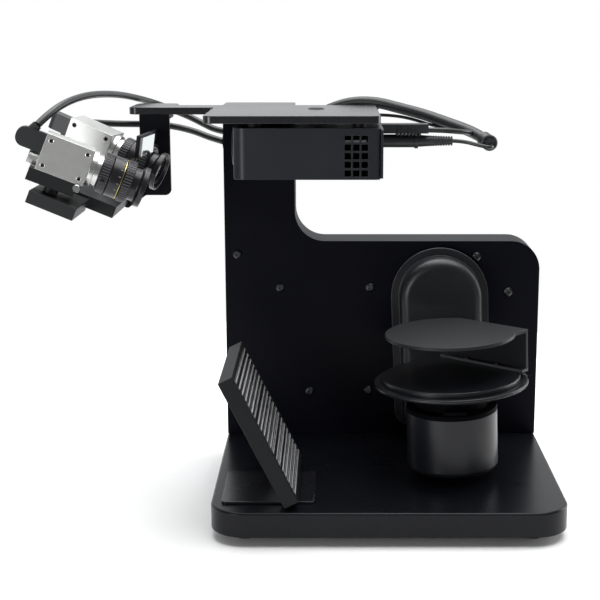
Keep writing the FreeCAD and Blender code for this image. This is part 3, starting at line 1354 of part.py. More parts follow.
places = {
    "shift": shift, "swing_pivot": pivot + shift, "motor_axis": motor_axis + shift,
    "table_axis_point": swing_place.multVec(Vector(0, pod_y, 0)) + shift,
    "table_axis": swing.multVec(Z_AXIS), "rocker_axis": rocker_axis + shift,
    "platform_point": swing_place.multVec(Vector(0, pod_y, platform_top)) + shift,
    "projector_lens": Vector(lens_tip, lens_y, lens_z) + shift,
    "lens_a": cameras["a"][0] + shift, "lens_a_axis": cameras["a"][1].multVec(X_AXIS),
    "lens_b": cameras["b"][0] + shift, "lens_b_axis": cameras["b"][1].multVec(X_AXIS),
}
for name, place in places.items():
    print("place", name, round(place.x, 5), round(place.y, 5), round(place.z, 5))
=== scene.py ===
import json
import math

import bmesh
import bpy
from mathutils import Matrix, Vector


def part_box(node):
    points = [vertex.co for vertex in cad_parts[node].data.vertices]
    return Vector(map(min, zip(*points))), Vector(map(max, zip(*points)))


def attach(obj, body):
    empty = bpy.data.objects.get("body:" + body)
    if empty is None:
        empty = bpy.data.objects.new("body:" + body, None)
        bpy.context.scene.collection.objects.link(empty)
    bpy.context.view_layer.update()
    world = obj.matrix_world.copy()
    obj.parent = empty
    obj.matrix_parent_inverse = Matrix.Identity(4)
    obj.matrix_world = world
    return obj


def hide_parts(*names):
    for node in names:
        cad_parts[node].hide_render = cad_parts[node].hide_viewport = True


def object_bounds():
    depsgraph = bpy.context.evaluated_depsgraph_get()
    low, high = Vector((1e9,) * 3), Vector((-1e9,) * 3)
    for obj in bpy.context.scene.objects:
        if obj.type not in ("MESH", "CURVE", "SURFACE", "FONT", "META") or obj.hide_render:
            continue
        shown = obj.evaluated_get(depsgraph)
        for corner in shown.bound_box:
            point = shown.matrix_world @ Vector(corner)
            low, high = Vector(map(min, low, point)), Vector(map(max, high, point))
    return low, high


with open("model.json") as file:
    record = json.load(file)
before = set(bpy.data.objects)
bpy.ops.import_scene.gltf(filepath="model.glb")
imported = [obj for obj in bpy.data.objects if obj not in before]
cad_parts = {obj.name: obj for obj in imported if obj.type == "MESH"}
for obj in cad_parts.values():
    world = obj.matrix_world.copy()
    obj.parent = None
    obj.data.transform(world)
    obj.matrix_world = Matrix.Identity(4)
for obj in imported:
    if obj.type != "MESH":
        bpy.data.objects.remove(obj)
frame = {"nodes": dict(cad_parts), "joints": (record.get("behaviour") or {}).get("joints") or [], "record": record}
cad_low, cad_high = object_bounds()


# The studio: a pale table under one big softbox, a tall one behind on the right, a narrow one in
# front on the left, and a bright backdrop. The camera stands a metre off, at the photograph's tilt.
MM = 0.001
base_low, base_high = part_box("base_shell")
base_middle = (base_low.x + base_high.x) / 2


def spot(x, back, up):
    """A place in millimetres: right of the base's middle, back from its front edge, up from its deck."""
    return Vector((base_middle + x * MM, base_low.y + back * MM, base_high.z + up * MM))


camera_data = bpy.data.cameras.new("view")
camera_data.lens = 79.14
camera_data.sensor_width = 36.0
camera_data.shift_x = -0.0533
camera = bpy.data.objects.new("view", camera_data)
bpy.context.scene.collection.objects.link(camera)
camera.location = spot(-44.9, -954.0, 370.0)
camera.rotation_euler = (math.radians(78.0), 0.0, 0.0)
bpy.context.scene.camera = camera
bpy.context.scene.view_settings.view_transform = "Standard"


def softbox(name, at, towards, width, height, power):
    lamp_data = bpy.data.lights.new(name, "AREA")
    lamp_data.shape = "RECTANGLE"
    lamp_data.size = width
    lamp_data.size_y = height
    lamp_data.energy = power
    lamp = bpy.data.objects.new(name, lamp_data)
    bpy.context.scene.collection.objects.link(lamp)
    lamp.location = at
    lamp.rotation_euler = (Vector(towards) - Vector(at)).to_track_quat("-Z", "Y").to_euler()


softbox("overhead", (0.1, 0.15, 1.8), (0.02, 0.05, 0.0), 2.2, 1.6, 52.0)
softbox("right_behind", (1.52, 0.62, 0.45), (0.1, 0.0, 0.2), 0.7, 1.2, 9.0)
softbox("front_left", (-0.95, -1.25, 0.24), (-0.15, 0.0, 0.28), 0.5, 0.8, 9.0)

TABLE_RADIUS = 0.62
floor_mesh = bpy.data.meshes.new("floor")
table_top = bmesh.new()
bmesh.ops.create_circle(table_top, cap_ends=True, segments=96, radius=TABLE_RADIUS)
table_top.to_mesh(floor_mesh)
table_top.free()
floor = bpy.data.objects.new("floor", floor_mesh)
bpy.context.scene.collection.objects.link(floor)
floor.location = (0.0, 0.05, cad_low.z)


class Line:
    """One value on its way through a material, so that shader maths reads as arithmetic."""

    def __init__(self, finish, socket):
        self.finish = finish
        self.socket = socket

    def maths(self, operation, first, second):
        made = self.finish.node("ShaderNodeMath", {"operation": operation}, {0: first, 1: second})
        return Line(self.finish, made.outputs[0])

    def __add__(self, other):
        return self.maths("ADD", self, other)

    __radd__ = __add__

    def __sub__(self, other):
        return self.maths("SUBTRACT", self, other)

    def __rsub__(self, other):
        return self.maths("SUBTRACT", other, self)

    def __mul__(self, other):
        return self.maths("MULTIPLY", self, other)

    __rmul__ = __mul__

    def __gt__(self, other):
        return self.maths("GREATER_THAN", self, other)


class Finish:
    """A material being mixed: its nodes come from one method, and its maths from Line."""

    def __init__(self, name):
        self.material = bpy.data.materials.new(name)
        self.material.use_nodes = True
        self.tree = self.material.node_tree
        self.tree.nodes.clear()
        self.place = Line(self, self.node("ShaderNodeTexCoord").outputs["Object"])

    def node(self, kind, settings=None, sockets=None):
        made = self.tree.nodes.new(kind)
        for setting, value in (settings or {}).items():
            setattr(made, setting, value)
        for socket, value in (sockets or {}).items():
            if isinstance(value, Line):
                self.tree.links.new(value.socket, made.inputs[socket])
            else:
                made.inputs[socket].default_value = value
        return made

    def noise(self, size, detail=2.0, roughness=0.5):
        """Cloudy noise whose blobs are about this many millimetres across."""
        made = self.node("ShaderNodeTexNoise", {"noise_dimensions": "3D"},
                         {"Vector": self.place, "Scale": 1.0 / (size * MM), "Detail": detail,
                          "Roughness": roughness})
        return Line(self, made.outputs["Fac"])

    def mixed(self, first, second, factor):
        made = self.node("ShaderNodeMix", {"data_type": "RGBA"}, {"Factor": factor, 6: first, 7: second})
        return Line(self, made.outputs[2])

    def bump(self, height, strength, depth):
        made = self.node("ShaderNodeBump", None,
                         {"Height": height, "Strength": strength, "Distance": depth * MM})
        return Line(self, made.outputs["Normal"])

    def done(self, **sockets):
        """Ends the mix in one surface shader, each keyword a socket with its spaces as underscores."""
        named = {key.replace("_", " "): value for key, value in sockets.items()}
        surface = self.node("ShaderNodeBsdfPrincipled", None, named)
        output = self.node("ShaderNodeOutputMaterial")
        self.tree.links.new(surface.outputs[0], output.inputs["Surface"])
        return self.material


def grey(value):
    return (value, value, value, 1.0)


sweep = Finish("white_sweep")
floor.data.materials.append(sweep.done(Base_Color=sweep.mixed(grey(0.93), grey(0.96), sweep.noise(400.0)),
                                       Roughness=0.9, Specular_IOR_Level=0.1))

# World light: plain white where the lens looks straight at it. For every other ray it is a dim
# surround that gets brighter towards the back, so the black paint catches a soft light from behind.
world = bpy.data.worlds.new("sweep")
bpy.context.scene.world = world
world.use_nodes = True
sky = world.node_tree
sky.nodes.clear()
seen = sky.nodes.new("ShaderNodeLightPath")
direction = sky.nodes.new("ShaderNodeTexCoord")
parts_of = sky.nodes.new("ShaderNodeSeparateXYZ")
ramp = sky.nodes.new("ShaderNodeMapRange")
ramp.inputs["From Min"].default_value = 0.0
ramp.inputs["From Max"].default_value = 0.45
ramp.inputs["To Min"].default_value = 0.22
ramp.inputs["To Max"].default_value = 1.0
ambient = sky.nodes.new("ShaderNodeBackground")
straight = sky.nodes.new("ShaderNodeBackground")
chosen = sky.nodes.new("ShaderNodeMixShader")
sky_output = sky.nodes.new("ShaderNodeOutputWorld")
sky.links.new(direction.outputs["Generated"], parts_of.inputs[0])
sky.links.new(parts_of.outputs["Y"], ramp.inputs["Value"])
sky.links.new(ramp.outputs["Result"], ambient.inputs["Strength"])
sky.links.new(seen.outputs["Is Camera Ray"], chosen.inputs[0])
sky.links.new(ambient.outputs[0], chosen.inputs[1])
sky.links.new(straight.outputs[0], chosen.inputs[2])
sky.links.new(chosen.outputs[0], sky_output.inputs["Surface"])
ambient.inputs["Color"].default_value = (0.97, 0.985, 1.0, 1.0)
straight.inputs["Color"].default_value = grey(1.0)
straight.inputs["Strength"].default_value = 1.0


# Cables: soft black jackets between the cameras, the projector and the tower. Each starts at a
# rubber grommet in the tower's wall or at the sleeve, and ends at its plug, at the sleeve or at a cap.
joint_of = {joint["name"]: joint for joint in frame["joints"]}


def camera_frame(name):
    """A camera's own frame: X along its lens, Y across to the back, Z up, centred in its body."""
    joint = joint_of[f"focus_turn_{name}"]
    along = Vector(joint["axis"]).normalized()
    across = Vector((-along.y, along.x, 0.0)).normalized()
    up = along.cross(across)
    turn = Matrix((along, across, up)).transposed().to_4x4()
    return Matrix.Translation(Vector(joint["pos_m"])) @ turn


def in_camera(name, x, y, z):
    return camera_frame(name) @ Vector((x * MM, y * MM, z * MM))


def toned(colour, share):
    """A colour made lighter or darker by this share."""
    return tuple(c * share for c in colour[:3]) + (1.0,)


def jacket_finish(name, colour, roughness):
    """Extruded cable jacket: smooth and slightly waxy, with cloudy dust and a very fine grain."""
    mix = Finish(name)
    cloud = mix.noise(9.0, 3.0)
    fine = mix.noise(0.6, 2.0)
    return mix.done(Base_Color=mix.mixed(colour, toned(colour, 1.7), cloud),
                    Roughness=roughness + (cloud - 0.5) * 0.16, Normal=mix.bump(fine, 0.12, 0.05),
                    Coat_Weight=0.08, Coat_Roughness=0.35)


cable_jacket = jacket_finish("cable_jacket", (0.009, 0.010, 0.011, 1.0), 0.38)
sleeve_jacket = jacket_finish("sleeve_jacket", (0.010, 0.011, 0.012, 1.0), 0.42)


def cord_piece(name, points, diameter, material):
    """A smooth round cord along given points."""
    line = bpy.data.curves.new(name, "CURVE")
    line.dimensions = "3D"
    spline = line.splines.new("NURBS")
    spline.points.add(len(points) - 1)
    for point, place in zip(spline.points, points):
        point.co = (*place, 1.0)
    spline.order_u = 3
    spline.use_endpoint_u = True
    spline.resolution_u = 10
    line.bevel_depth = diameter / 2
    line.bevel_resolution = 5
    line.use_fill_caps = True
    line.materials.append(material)
    piece = bpy.data.objects.new(name, line)
    bpy.context.scene.collection.objects.link(piece)
    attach(piece, "frame")
    return piece


boot_lean = math.radians(25.0)
boot_length = 9.0
a_boot_back = 13.0
a_boot_up = 8.0
b_boot_back = 11.0
b_boot_across = 4.0
b_boot_up = 3.0
half_camera = 19.0
lip = 1.0
column_left = -140.0
column_right = -77.6
a_route = [
    spot(column_left - lip, 228.0, 272.5), spot(-150.0, 231.5, 274.0), spot(-160.0, 240.5, 278.0),
    spot(-173.5, 248.0, 284.0), spot(-190.0, 250.0, 290.5), spot(-205.0, 243.5, 297.0),
    spot(-216.5, 225.0, 302.0), spot(-225.0, 194.0, 306.5), spot(-232.5, 158.0, 309.5),
    spot(-242.0, 122.0, 310.5), spot(-252.0, 90.0, 307.5), spot(-261.5, 65.0, 300.0),
    in_camera("a", -half_camera - a_boot_back + math.sin(boot_lean) * boot_length, 0.0,
              a_boot_up + math.cos(boot_lean) * boot_length)]
b_route = [
    spot(column_left - lip, 214.0, 265.0), spot(-152.5, 220.0, 267.5), spot(-169.0, 230.0, 273.0),
    spot(-190.0, 233.0, 277.5), spot(-212.0, 228.0, 279.0), spot(-233.0, 217.0, 280.0),
    spot(-250.0, 202.0, 282.0), spot(-261.0, 186.0, 284.5), spot(-266.3, 171.3, 285.3),
    in_camera("b", -half_camera - b_boot_back, b_boot_across + boot_length, b_boot_up)]
sleeve_route = [
    spot(column_right + lip, 222.0, 280.0), spot(-63.0, 222.0, 285.0), spot(-45.0, 219.5, 294.0),
    spot(-27.0, 215.0, 299.5), spot(-6.0, 208.0, 299.7), spot(14.0, 198.0, 295.0), spot(34.0, 186.0, 290.5),
    spot(52.5, 171.0, 284.7), spot(68.0, 154.0, 280.0), spot(78.0, 138.0, 275.7), spot(83.5, 128.0, 271.5)]
plug_tip = -5.0
dc_height = 273.6
video_height = 282.4
socket_back = 122.0
dc_reach = 58.0
video_reach = 38.0
power_route = [
    sleeve_route[-1], spot(86.5, 121.0, 269.0), spot(82.5, 115.0, 268.8), spot(74.0, 116.5, 270.5),
    spot(62.0, 121.8, 273.3), spot(plug_tip + dc_reach, socket_back, dc_height)]
video_route = [
    spot(73.0, 146.0, 278.0), spot(65.5, 134.5, 279.5), spot(55.0, 126.5, 281.0), spot(44.0, 122.5, 282.2),
    spot(plug_tip + video_reach, socket_back, video_height)]
sync_route = [
    spot(column_right + lip, 222.0, 266.0), spot(-62.0, 221.0, 270.5), spot(-40.0, 217.0, 281.0),
    spot(-12.0, 209.0, 288.7), spot(9.0, 201.0, 288.5), spot(24.0, 192.0, 286.3), spot(39.0, 180.5, 282.0),
    spot(52.5, 169.0, 280.0), spot(64.5, 157.5, 279.8)]


def turned(name, profile, at, along, material, sides=48):
    """A lathe-turned piece from (radius, distance) corners in millimetres, its axis along a way."""
    shape = bmesh.new()
    rings = []
    for radius, distance in profile:
        rings.append([shape.verts.new((radius * MM * math.cos(math.tau * side / sides),
                                       radius * MM * math.sin(math.tau * side / sides), distance * MM))
                      for side in range(sides)])
    for inner, outer in zip(rings, rings[1:] + rings[:1]):
        for side in range(sides):
            following = (side + 1) % sides
            shape.faces.new((inner[side], inner[following], outer[following], outer[side]))
    bmesh.ops.remove_doubles(shape, verts=shape.verts, dist=1e-7)
    bmesh.ops.recalc_face_normals(shape, faces=shape.faces)
    mesh = bpy.data.meshes.new(name)
    shape.to_mesh(mesh)
    shape.free()
    mesh.transform(Matrix.Translation(at) @ Vector(along).to_track_quat("Z", "Y").to_matrix().to_4x4())
    mesh.materials.append(material)
    mesh.shade_smooth()
    mesh.set_sharp_from_angle(angle=math.radians(32.0))
    piece = bpy.data.objects.new(name, mesh)
    bpy.context.scene.collection.objects.link(piece)
    return piece


def baked(piece):
    """The piece with its modifiers applied."""
    evaluated = piece.evaluated_get(bpy.context.evaluated_depsgraph_get())
    mesh = bpy.data.meshes.new_from_object(evaluated)
    piece.modifiers.clear()
    piece.data = mesh
    return piece


class Pattern:
    """A Geometry Nodes tree being wired: named inputs, nodes from one method, and one finish."""

    def __init__(self, name, **kinds):
        self.tree = bpy.data.node_groups.new(name, "GeometryNodeTree")
        self.tree.interface.new_socket("Geometry", in_out="OUTPUT", socket_type="NodeSocketGeometry")
        self.identifiers = {}
        for label, kind in {**kinds, "finish": "Material"}.items():
            made = self.tree.interface.new_socket(label, in_out="INPUT", socket_type="NodeSocket" + kind)
            self.identifiers[label] = made.identifier
        entry = self.tree.nodes.new("NodeGroupInput")
        self.inputs = {label: entry.outputs[label] for label in self.identifiers}

    def node(self, kind, settings=None, sockets=None):
        made = self.tree.nodes.new(kind)
        for setting, value in (settings or {}).items():
            setattr(made, setting, value)
        for socket, value in (sockets or {}).items():
            if isinstance(value, bpy.types.NodeSocket):
                self.tree.links.new(value, made.inputs[socket])
            else:
                made.inputs[socket].default_value = value
        return made.outputs[0]

    def hoop(self, radius, thick, sides=36, round_sides=8):
        """A closed ring of round wire about Z."""
        line = self.node("GeometryNodeCurvePrimitiveCircle", None, {"Resolution": sides, "Radius": radius})
        wire = self.node("GeometryNodeCurvePrimitiveCircle", None,
                         {"Resolution": round_sides, "Radius": thick})
        return self.node("GeometryNodeCurveToMesh", None, {"Curve": line, "Profile Curve": wire})

    def repeated(self, points, instance, scale=1.0):
        """Ends the tree: one copy on each point, made real and given the finish."""
        size = scale if isinstance(scale, bpy.types.NodeSocket) else (scale, scale, scale)
        copies = self.node("GeometryNodeInstanceOnPoints", None,
                           {"Points": points, "Instance": instance, "Scale": size})
        real = self.node("GeometryNodeRealizeInstances", None, {"Geometry": copies})
        faced = self.node("GeometryNodeSetMaterial", None,
                          {"Geometry": real, "Material": self.inputs["finish"]})
        output = self.tree.nodes.new("NodeGroupOutput")
        self.tree.links.new(faced, output.inputs[0])

    def grown(self, name, place, body, slot, edge=0.0, **values):
        """Runs the tree once with these values and keeps the plain mesh it gives, at its place."""
        piece = bpy.data.objects.new(name, bpy.data.meshes.new(name + "_seed"))
        bpy.context.scene.collection.objects.link(piece)
        pattern = piece.modifiers.new("pattern", "NODES")
        pattern.node_group = self.tree
        for label, value in values.items():
            pattern[self.identifiers[label]] = value
        if edge > 0:
            bevel = piece.modifiers.new("ease", "BEVEL")
            bevel.width = edge * MM
            bevel.segments = 2
            bevel.limit_method = "ANGLE"
        baked(piece)
        piece.data.transform(place)
        piece.data.shade_smooth()
        piece.data.set_sharp_from_angle(angle=math.radians(40.0))
        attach(piece, body)


# Power plug's relief: a soft moulded tail behind the plug's grip, with a row of round ribs that get
# smaller towards the lead, so that it bends evenly.
relief = Pattern("relief_ribs", count="Int", pitch="Float", radius="Float", thick="Float", taper="Float")
rib_index = relief.node("GeometryNodeInputIndex")
shrink = relief.node("ShaderNodeMath", {"operation": "MULTIPLY"}, {0: rib_index, 1: relief.inputs["taper"]})
rib_scale = relief.node("ShaderNodeMath", {"operation": "SUBTRACT"}, {0: 1.0, 1: shrink})
rib_way = relief.node("ShaderNodeCombineXYZ", None, {"Z": relief.inputs["pitch"]})
rib_line = relief.node("GeometryNodeMeshLine", None, {"Count": relief.inputs["count"], "Offset": rib_way})
relief.repeated(rib_line, relief.hoop(relief.inputs["radius"], relief.inputs["thick"], 28), rib_scale)
relief_start = plug_tip + 38.4
relief.grown("relief_ribs", Matrix.Translation(spot(relief_start, socket_back, dc_height))
             @ Matrix.Rotation(math.radians(90.0), 4, "Y"), "frame", "plug_plastic",
             count=10, pitch=2.1 * MM, radius=3.75 * MM, thick=0.8 * MM, taper=0.014, finish=sleeve_jacket)

# Video plug's grip: a row of rubbery pads along the moulded plug, where the fingers hold it. They sit
# low on the shell, so they stand out at its front, back and underside but not on top.
bars = Pattern("bar_row", count="Int", pitch="Float", size="Vector")
bar_way = bars.node("ShaderNodeCombineXYZ", None, {"X": bars.inputs["pitch"]})
bar_line = bars.node("GeometryNodeMeshLine", None, {"Count": bars.inputs["count"], "Offset": bar_way})
bars.repeated(bar_line, bars.node("GeometryNodeMeshCube", None, {"Size": bars.inputs["size"]}))
video_low, video_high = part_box("video_plug")
video_size = video_high - video_low
grip_start = 8.0
pad_width = 2.0
pad_pitch = 3.0
pads_wider = 0.9
pads_taller = 1.2
bars.grown("video_grip", Matrix.Translation(spot(grip_start, socket_back, video_height)), "frame",
           "plug_plastic", 0.4, count=7, pitch=pad_pitch * MM,
           size=(pad_width * MM, video_size.y + pads_wider * MM, video_size.z + pads_taller * MM),
           finish=sleeve_jacket)

# Sleeve ends: a short moulded cap where the power lead turns into the sleeve, a rubber ring that
# closes it towards the front, and a clip band about halfway along that holds the jacket together.
sleeve_way = (sleeve_route[-1] - sleeve_route[-2]).normalized()
cap_profile = [(4.85, -9.0), (6.1, -8.4), (6.3, -1.6), (5.7, 0.2), (4.2, 0.5), (3.9, -1.2),
               (1.7, -1.4), (1.7, -2.0), (4.85, -3.0)]
sleeve_cap = turned("sleeve_cap", cap_profile, sleeve_route[-1], sleeve_way, sleeve_jacket)
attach(sleeve_cap, "frame")
ring_profile = [(0.0, -2.4), (5.8, -2.4), (6.5, -1.5), (6.6, 1.0), (6.1, 2.0), (5.2, 2.3),
                (4.5, 1.8), (4.2, 0.2), (0.0, 0.2)]
ring_way = (-0.2, -0.97, 0.1)
sleeve_ring = turned("sleeve_ring", ring_profile, spot(83.6, 124.6, 271.7), ring_way, sleeve_jacket)
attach(sleeve_ring, "frame")
band_way = (sleeve_route[5] - sleeve_route[3]).normalized()
band_profile = [(4.7, -1.8), (5.5, -1.6), (5.6, 0.0), (5.5, 1.6), (4.7, 1.8)]
sleeve_band = turned("sleeve_band", band_profile, spot(-6.0, 208.6, 298.3), band_way, sleeve_jacket)
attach(sleeve_band, "frame")

# Cords: each jacket is drawn along its route and stands in for the plain one, with its length and
# width in millimetres and the plug and trim that go with it. Both camera plugs are one node, which
# goes with camera A's cable.
for name, route, length, diameter, far_end, stiffness, gone_with in (
        ("camera_a_cable", a_route, 278.9, 5.8, "object", "stiff", ["camera_plugs"]),
        ("camera_b_cable", b_route, 167.4, 5.8, "object", "stiff", []),
        ("cable_sleeve", sleeve_route, 201.9, 9.6, "fitting", "stiff",
         ["sleeve_cap", "sleeve_ring", "sleeve_band"]),
        ("power_lead", power_route, 45.0, 3.2, "plug", "medium", ["dc_plug", "relief_ribs"]),
        ("video_lead", video_route, 49.6, 4.4, "plug", "stiff", ["video_plug", "video_grip"]),
        ("sync_lead", sync_route, 163.7, 2.8, "object", "medium", [])):
    coat = sleeve_jacket if name == "cable_sleeve" else cable_jacket
    cord = cord_piece(name + "_line", route, diameter * MM, coat)
    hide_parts(name)
    length * MM
    diameter * MM


# Paint: the sheet-metal and cast pieces are powder coated a fine-grained black. Edges are eased a
# little before coating, so each of these pieces is its CAD form with its sharp edges rounded.
def powder_coat(name, colour, roughness, grain=0.5, depth=0.02, strength=0.25, sheen=0.22):
    """Fine-grained black powder coat, with slow drifts in tone and sheen."""
    mix = Finish(name)
    drift = mix.noise(60.0, 3.0)
    grain_height = mix.noise(grain, 2.0)
    return mix.done(Base_Color=mix.mixed(colour, toned(colour, 1.35), drift),
                    Roughness=roughness + (drift - 0.5) * 0.1,
                    Normal=mix.bump(grain_height, strength, depth), Specular_IOR_Level=sheen)


def eased(node, edge, segments=2, angle=32.0):
    """A copy of a CAD part with its doubles merged, its flats joined and its sharp edges rounded."""
    source = frame["nodes"][node]
    shape = bmesh.new()
    shape.from_mesh(source.data)
    bmesh.ops.remove_doubles(shape, verts=shape.verts, dist=1e-6)
    bmesh.ops.dissolve_limit(shape, angle_limit=math.radians(0.6), verts=shape.verts, edges=shape.edges)
    mesh = bpy.data.meshes.new(node + "_eased")
    corners = [tuple(v.co) for v in shape.verts]
    shape.verts.index_update()
    mesh.from_pydata(corners, [], [[v.index for v in f.verts] for f in shape.faces])
    mesh.shade_smooth()
    mesh.set_sharp_from_angle(angle=math.radians(60.0))
    shape.free()
    piece = bpy.data.objects.new(node + "_finished", mesh)
    bpy.context.scene.collection.objects.link(piece)
    bevel = piece.modifiers.new("ease", "BEVEL")
    bevel.width = edge * MM
    bevel.segments = segments
    bevel.limit_method = "ANGLE"
    bevel.angle_limit = math.radians(angle)
    bevel.use_clamp_overlap = False
    weighted = piece.modifiers.new("flats", "WEIGHTED_NORMAL")
    weighted.keep_sharp = True
    weighted.weight = 100
    return baked(piece)


node_body = {node: body for body, nodes in frame["record"]["behaviour"]["bodies"].items() for node in nodes}


def wear(piece, material):
    piece.data.materials.clear()
    piece.data.materials.append(material)
    return piece


def coated(node, material, edge=0.0, segments=2):
    """Gives a CAD part its finish, on an eased copy where an edge is given."""
    if edge <= 0:
        return wear(frame["nodes"][node], material)
    piece = wear(eased(node, edge, segments), material)
    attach(piece, node_body[node])
    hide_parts(node)
    return piece


panel_coat = powder_coat("panel_coat", (0.0030, 0.0032, 0.0060, 1.0), 0.36, sheen=0.07)
base_coat = powder_coat("base_coat", (0.0040, 0.0043, 0.0062, 1.0), 0.27, sheen=0.18)
plate_coat = powder_coat("plate_coat", (0.0060, 0.0062, 0.0085, 1.0), 0.27, sheen=0.64)
cover_coat = powder_coat("cover_coat", (0.0058, 0.0061, 0.0082, 1.0), 0.50, sheen=0.12)

# Base: a machined black slab with a hollow underside, closed by a moulded cover and standing on four
# rubber feet, each held by a screw.
coated("base_shell", base_coat, 0.5)


def moulded(name, colour, roughness, grain=0.35, strength=0.25):
    """Injection-moulded plastic with a fine spark-eroded grain."""
    mix = Finish(name)
    drift = mix.noise(30.0, 2.0)
    texture = mix.noise(grain, 3.0, roughness=0.6)
    return mix.done(Base_Color=mix.mixed(colour, toned(colour, 1.25), drift),
                    Roughness=roughness + (texture - 0.5) * 0.12, Normal=mix.bump(texture, strength, 0.03))


def rubbery(name, colour):
    """Matt rubber with a bloom of fine dust."""
    mix = Finish(name)
    bloom = mix.noise(4.0, 4.0)
    return mix.done(Base_Color=mix.mixed(colour, toned(colour, 2.2), bloom * 0.6),
                    Roughness=0.72 + bloom * 0.15, Normal=mix.bump(mix.noise(0.5), 0.3, 0.04))


def metal(name, colour, roughness, mark=0.4, strength=0.15):
    """Bare or oxided metal with a fine even grain."""
    mix = Finish(name)
    marks = mix.noise(mark, 3.0)
    cloud = mix.noise(12.0, 2.0)
    return mix.done(Base_Color=mix.mixed(toned(colour, 0.8), colour, cloud), Metallic=1.0,
                    Roughness=roughness + (marks - 0.5) * 0.2, Normal=mix.bump(marks, strength, 0.02))


under_plastic = moulded("under_plastic", (0.013, 0.0135, 0.014, 1.0), 0.55)
soft_rubber = rubbery("soft_rubber", (0.012, 0.012, 0.012, 1.0))
black_oxide = metal("black_oxide", (0.075, 0.077, 0.082, 1.0), 0.34)
coated("base_bottom_cover", under_plastic, 0.3)
coated("rubber_feet", soft_rubber)
coated("case_screws", black_oxide)

# Tower: a folded L-shaped front panel, screwed to a deep rear cover of the same outline. Rubber
# grommets line the holes where the cables leave it.
coated("front_panel", panel_coat, 0.45)
coated("rear_cover", cover_coat, 0.6)
coated("cable_grommets", soft_rubber)
socket_plastic = moulded("socket_plastic", (0.010, 0.010, 0.011, 1.0), 0.36, grain=0.3, strength=0.15)
coated("rear_sockets", socket_plastic, 0.25)
coated("power_rocker", socket_plastic, 0.4)

# Inside the tower: the controller board, and the geared motor whose toothed belt swings the arm.
board_mix = Finish("board_laminate")
copper = board_mix.noise(2.2, 1.0) > 0.56
bare_laminate = (0.006, 0.035, 0.016, 1.0)
over_copper = (0.02, 0.075, 0.03, 1.0)
board_finish = board_mix.done(Base_Color=board_mix.mixed(bare_laminate, over_copper, copper),
                              Roughness=0.35 + copper * 0.1, Normal=board_mix.bump(copper, 0.3, 0.05))
bright_steel = metal("bright_steel", (0.58, 0.59, 0.61, 1.0), 0.26)
bare_alloy = metal("bare_alloy", (0.66, 0.67, 0.68, 1.0), 0.36)
coated("controller_board", board_finish)
coated("swing_motor", bare_alloy, 0.4)
coated("swing_bearing_housing", bare_alloy)
coated("swing_bearings", bright_steel)
coated("swing_shaft", bright_steel)
coated("swing_pulley", bare_alloy)
coated("motor_pulley", bare_alloy)
coated("drive_belt", soft_rubber)

# Swing arm and pod: one painted casting with a soft-edged tombstone boss, carrying the round pod
# that hides the table's motor and bearing.
arm_coat = powder_coat("arm_coat", (0.0062, 0.0066, 0.0088, 1.0), 0.40, grain=0.4, strength=0.28,
                       sheen=0.48)
pod_coat = powder_coat("pod_coat", (0.0048, 0.0052, 0.0072, 1.0), 0.30, grain=0.4, strength=0.28,
                       sheen=0.34)
# The collar under the disc is painted almost black and almost without gloss: painted shade, for the shade under
# the disc.
painted_shade_collar_coat = powder_coat("painted_shade_collar_coat", (0.0012, 0.0012, 0.002, 1.0), 0.65, sheen=0.03)
coated("swing_arm", arm_coat, 0.35)
coated("pod_housing", pod_coat, 0.4)
coated("pod_collar", painted_shade_collar_coat, 0.3)
coated("table_motor", bare_alloy)
coated("table_bearing", bright_steel)
coated("table_spindle", bright_steel)
swing_pivot = joint_of["arm_swing"]["pos_m"]
rest_swing = 2.2
flange_stands_off = 7.0
arm_drop = 118.0
arm_corner = 13.0
arc_steps = 24
swing_place = (Matrix.Translation(Vector(swing_pivot))
               @ Matrix.Rotation(math.radians(rest_swing), 4, Vector((0.0, -1.0, 0.0))))
flange_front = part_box("front_panel")[0].y - flange_stands_off * MM - swing_pivot[1]


def arc(centre_x, centre_z, radius, start, end):
    """Corners along an arc in the arm's face, its angles in degrees."""
    corners = []
    for step in range(arc_steps + 1):
        angle = math.radians(start + (end - start) * step / arc_steps)
        corners.append((centre_x + radius * math.cos(angle), centre_z + radius * math.sin(angle)))
    return corners


def painted_highlight_bead(name, half_wide, thick, material):
    """Painted highlight: a pale bead along the arm's tombstone outline, where its broken edge catches light."""
    inner = half_wide - arm_corner
    low_centre = arm_corner - arm_drop
    outline = (arc(0.0, 0.0, half_wide, 0.0, 180.0) + arc(-inner, low_centre, arm_corner, 180.0, 270.0)
               + arc(inner, low_centre, arm_corner, 270.0, 360.0))
    line = bpy.data.curves.new(name, "CURVE")
    line.dimensions = "3D"
    spline = line.splines.new("POLY")
    spline.points.add(len(outline) - 1)
    for point, (x, z) in zip(spline.points, outline):
        point.co = (*(swing_place @ Vector((x * MM, flange_front, z * MM))), 1.0)
    spline.use_cyclic_u = True
    line.bevel_depth = thick * MM
    line.bevel_resolution = 2
    line.materials.append(material)
    path = bpy.data.objects.new(name + "_path", line)
    bpy.context.scene.collection.objects.link(path)
    drawn = path.evaluated_get(bpy.context.evaluated_depsgraph_get())
    piece = bpy.data.objects.new(name, bpy.data.meshes.new_from_object(drawn))
    bpy.data.objects.remove(path)
    bpy.context.scene.collection.objects.link(piece)
    return piece


# Painted highlights: pale beads along the flange's edge and the boss's foot, for the light these edges catch.
painted_edge_highlight = powder_coat("painted_edge_highlight", (0.060, 0.062, 0.066, 1.0), 0.34, sheen=0.5)
for name, half_wide, thick in (("flange_edge", 42.75, 0.3), ("boss_foot", 36.2, 0.34)):
    highlight_piece = painted_highlight_bead(name, half_wide, thick, painted_edge_highlight)
    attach(highlight_piece, "swing")
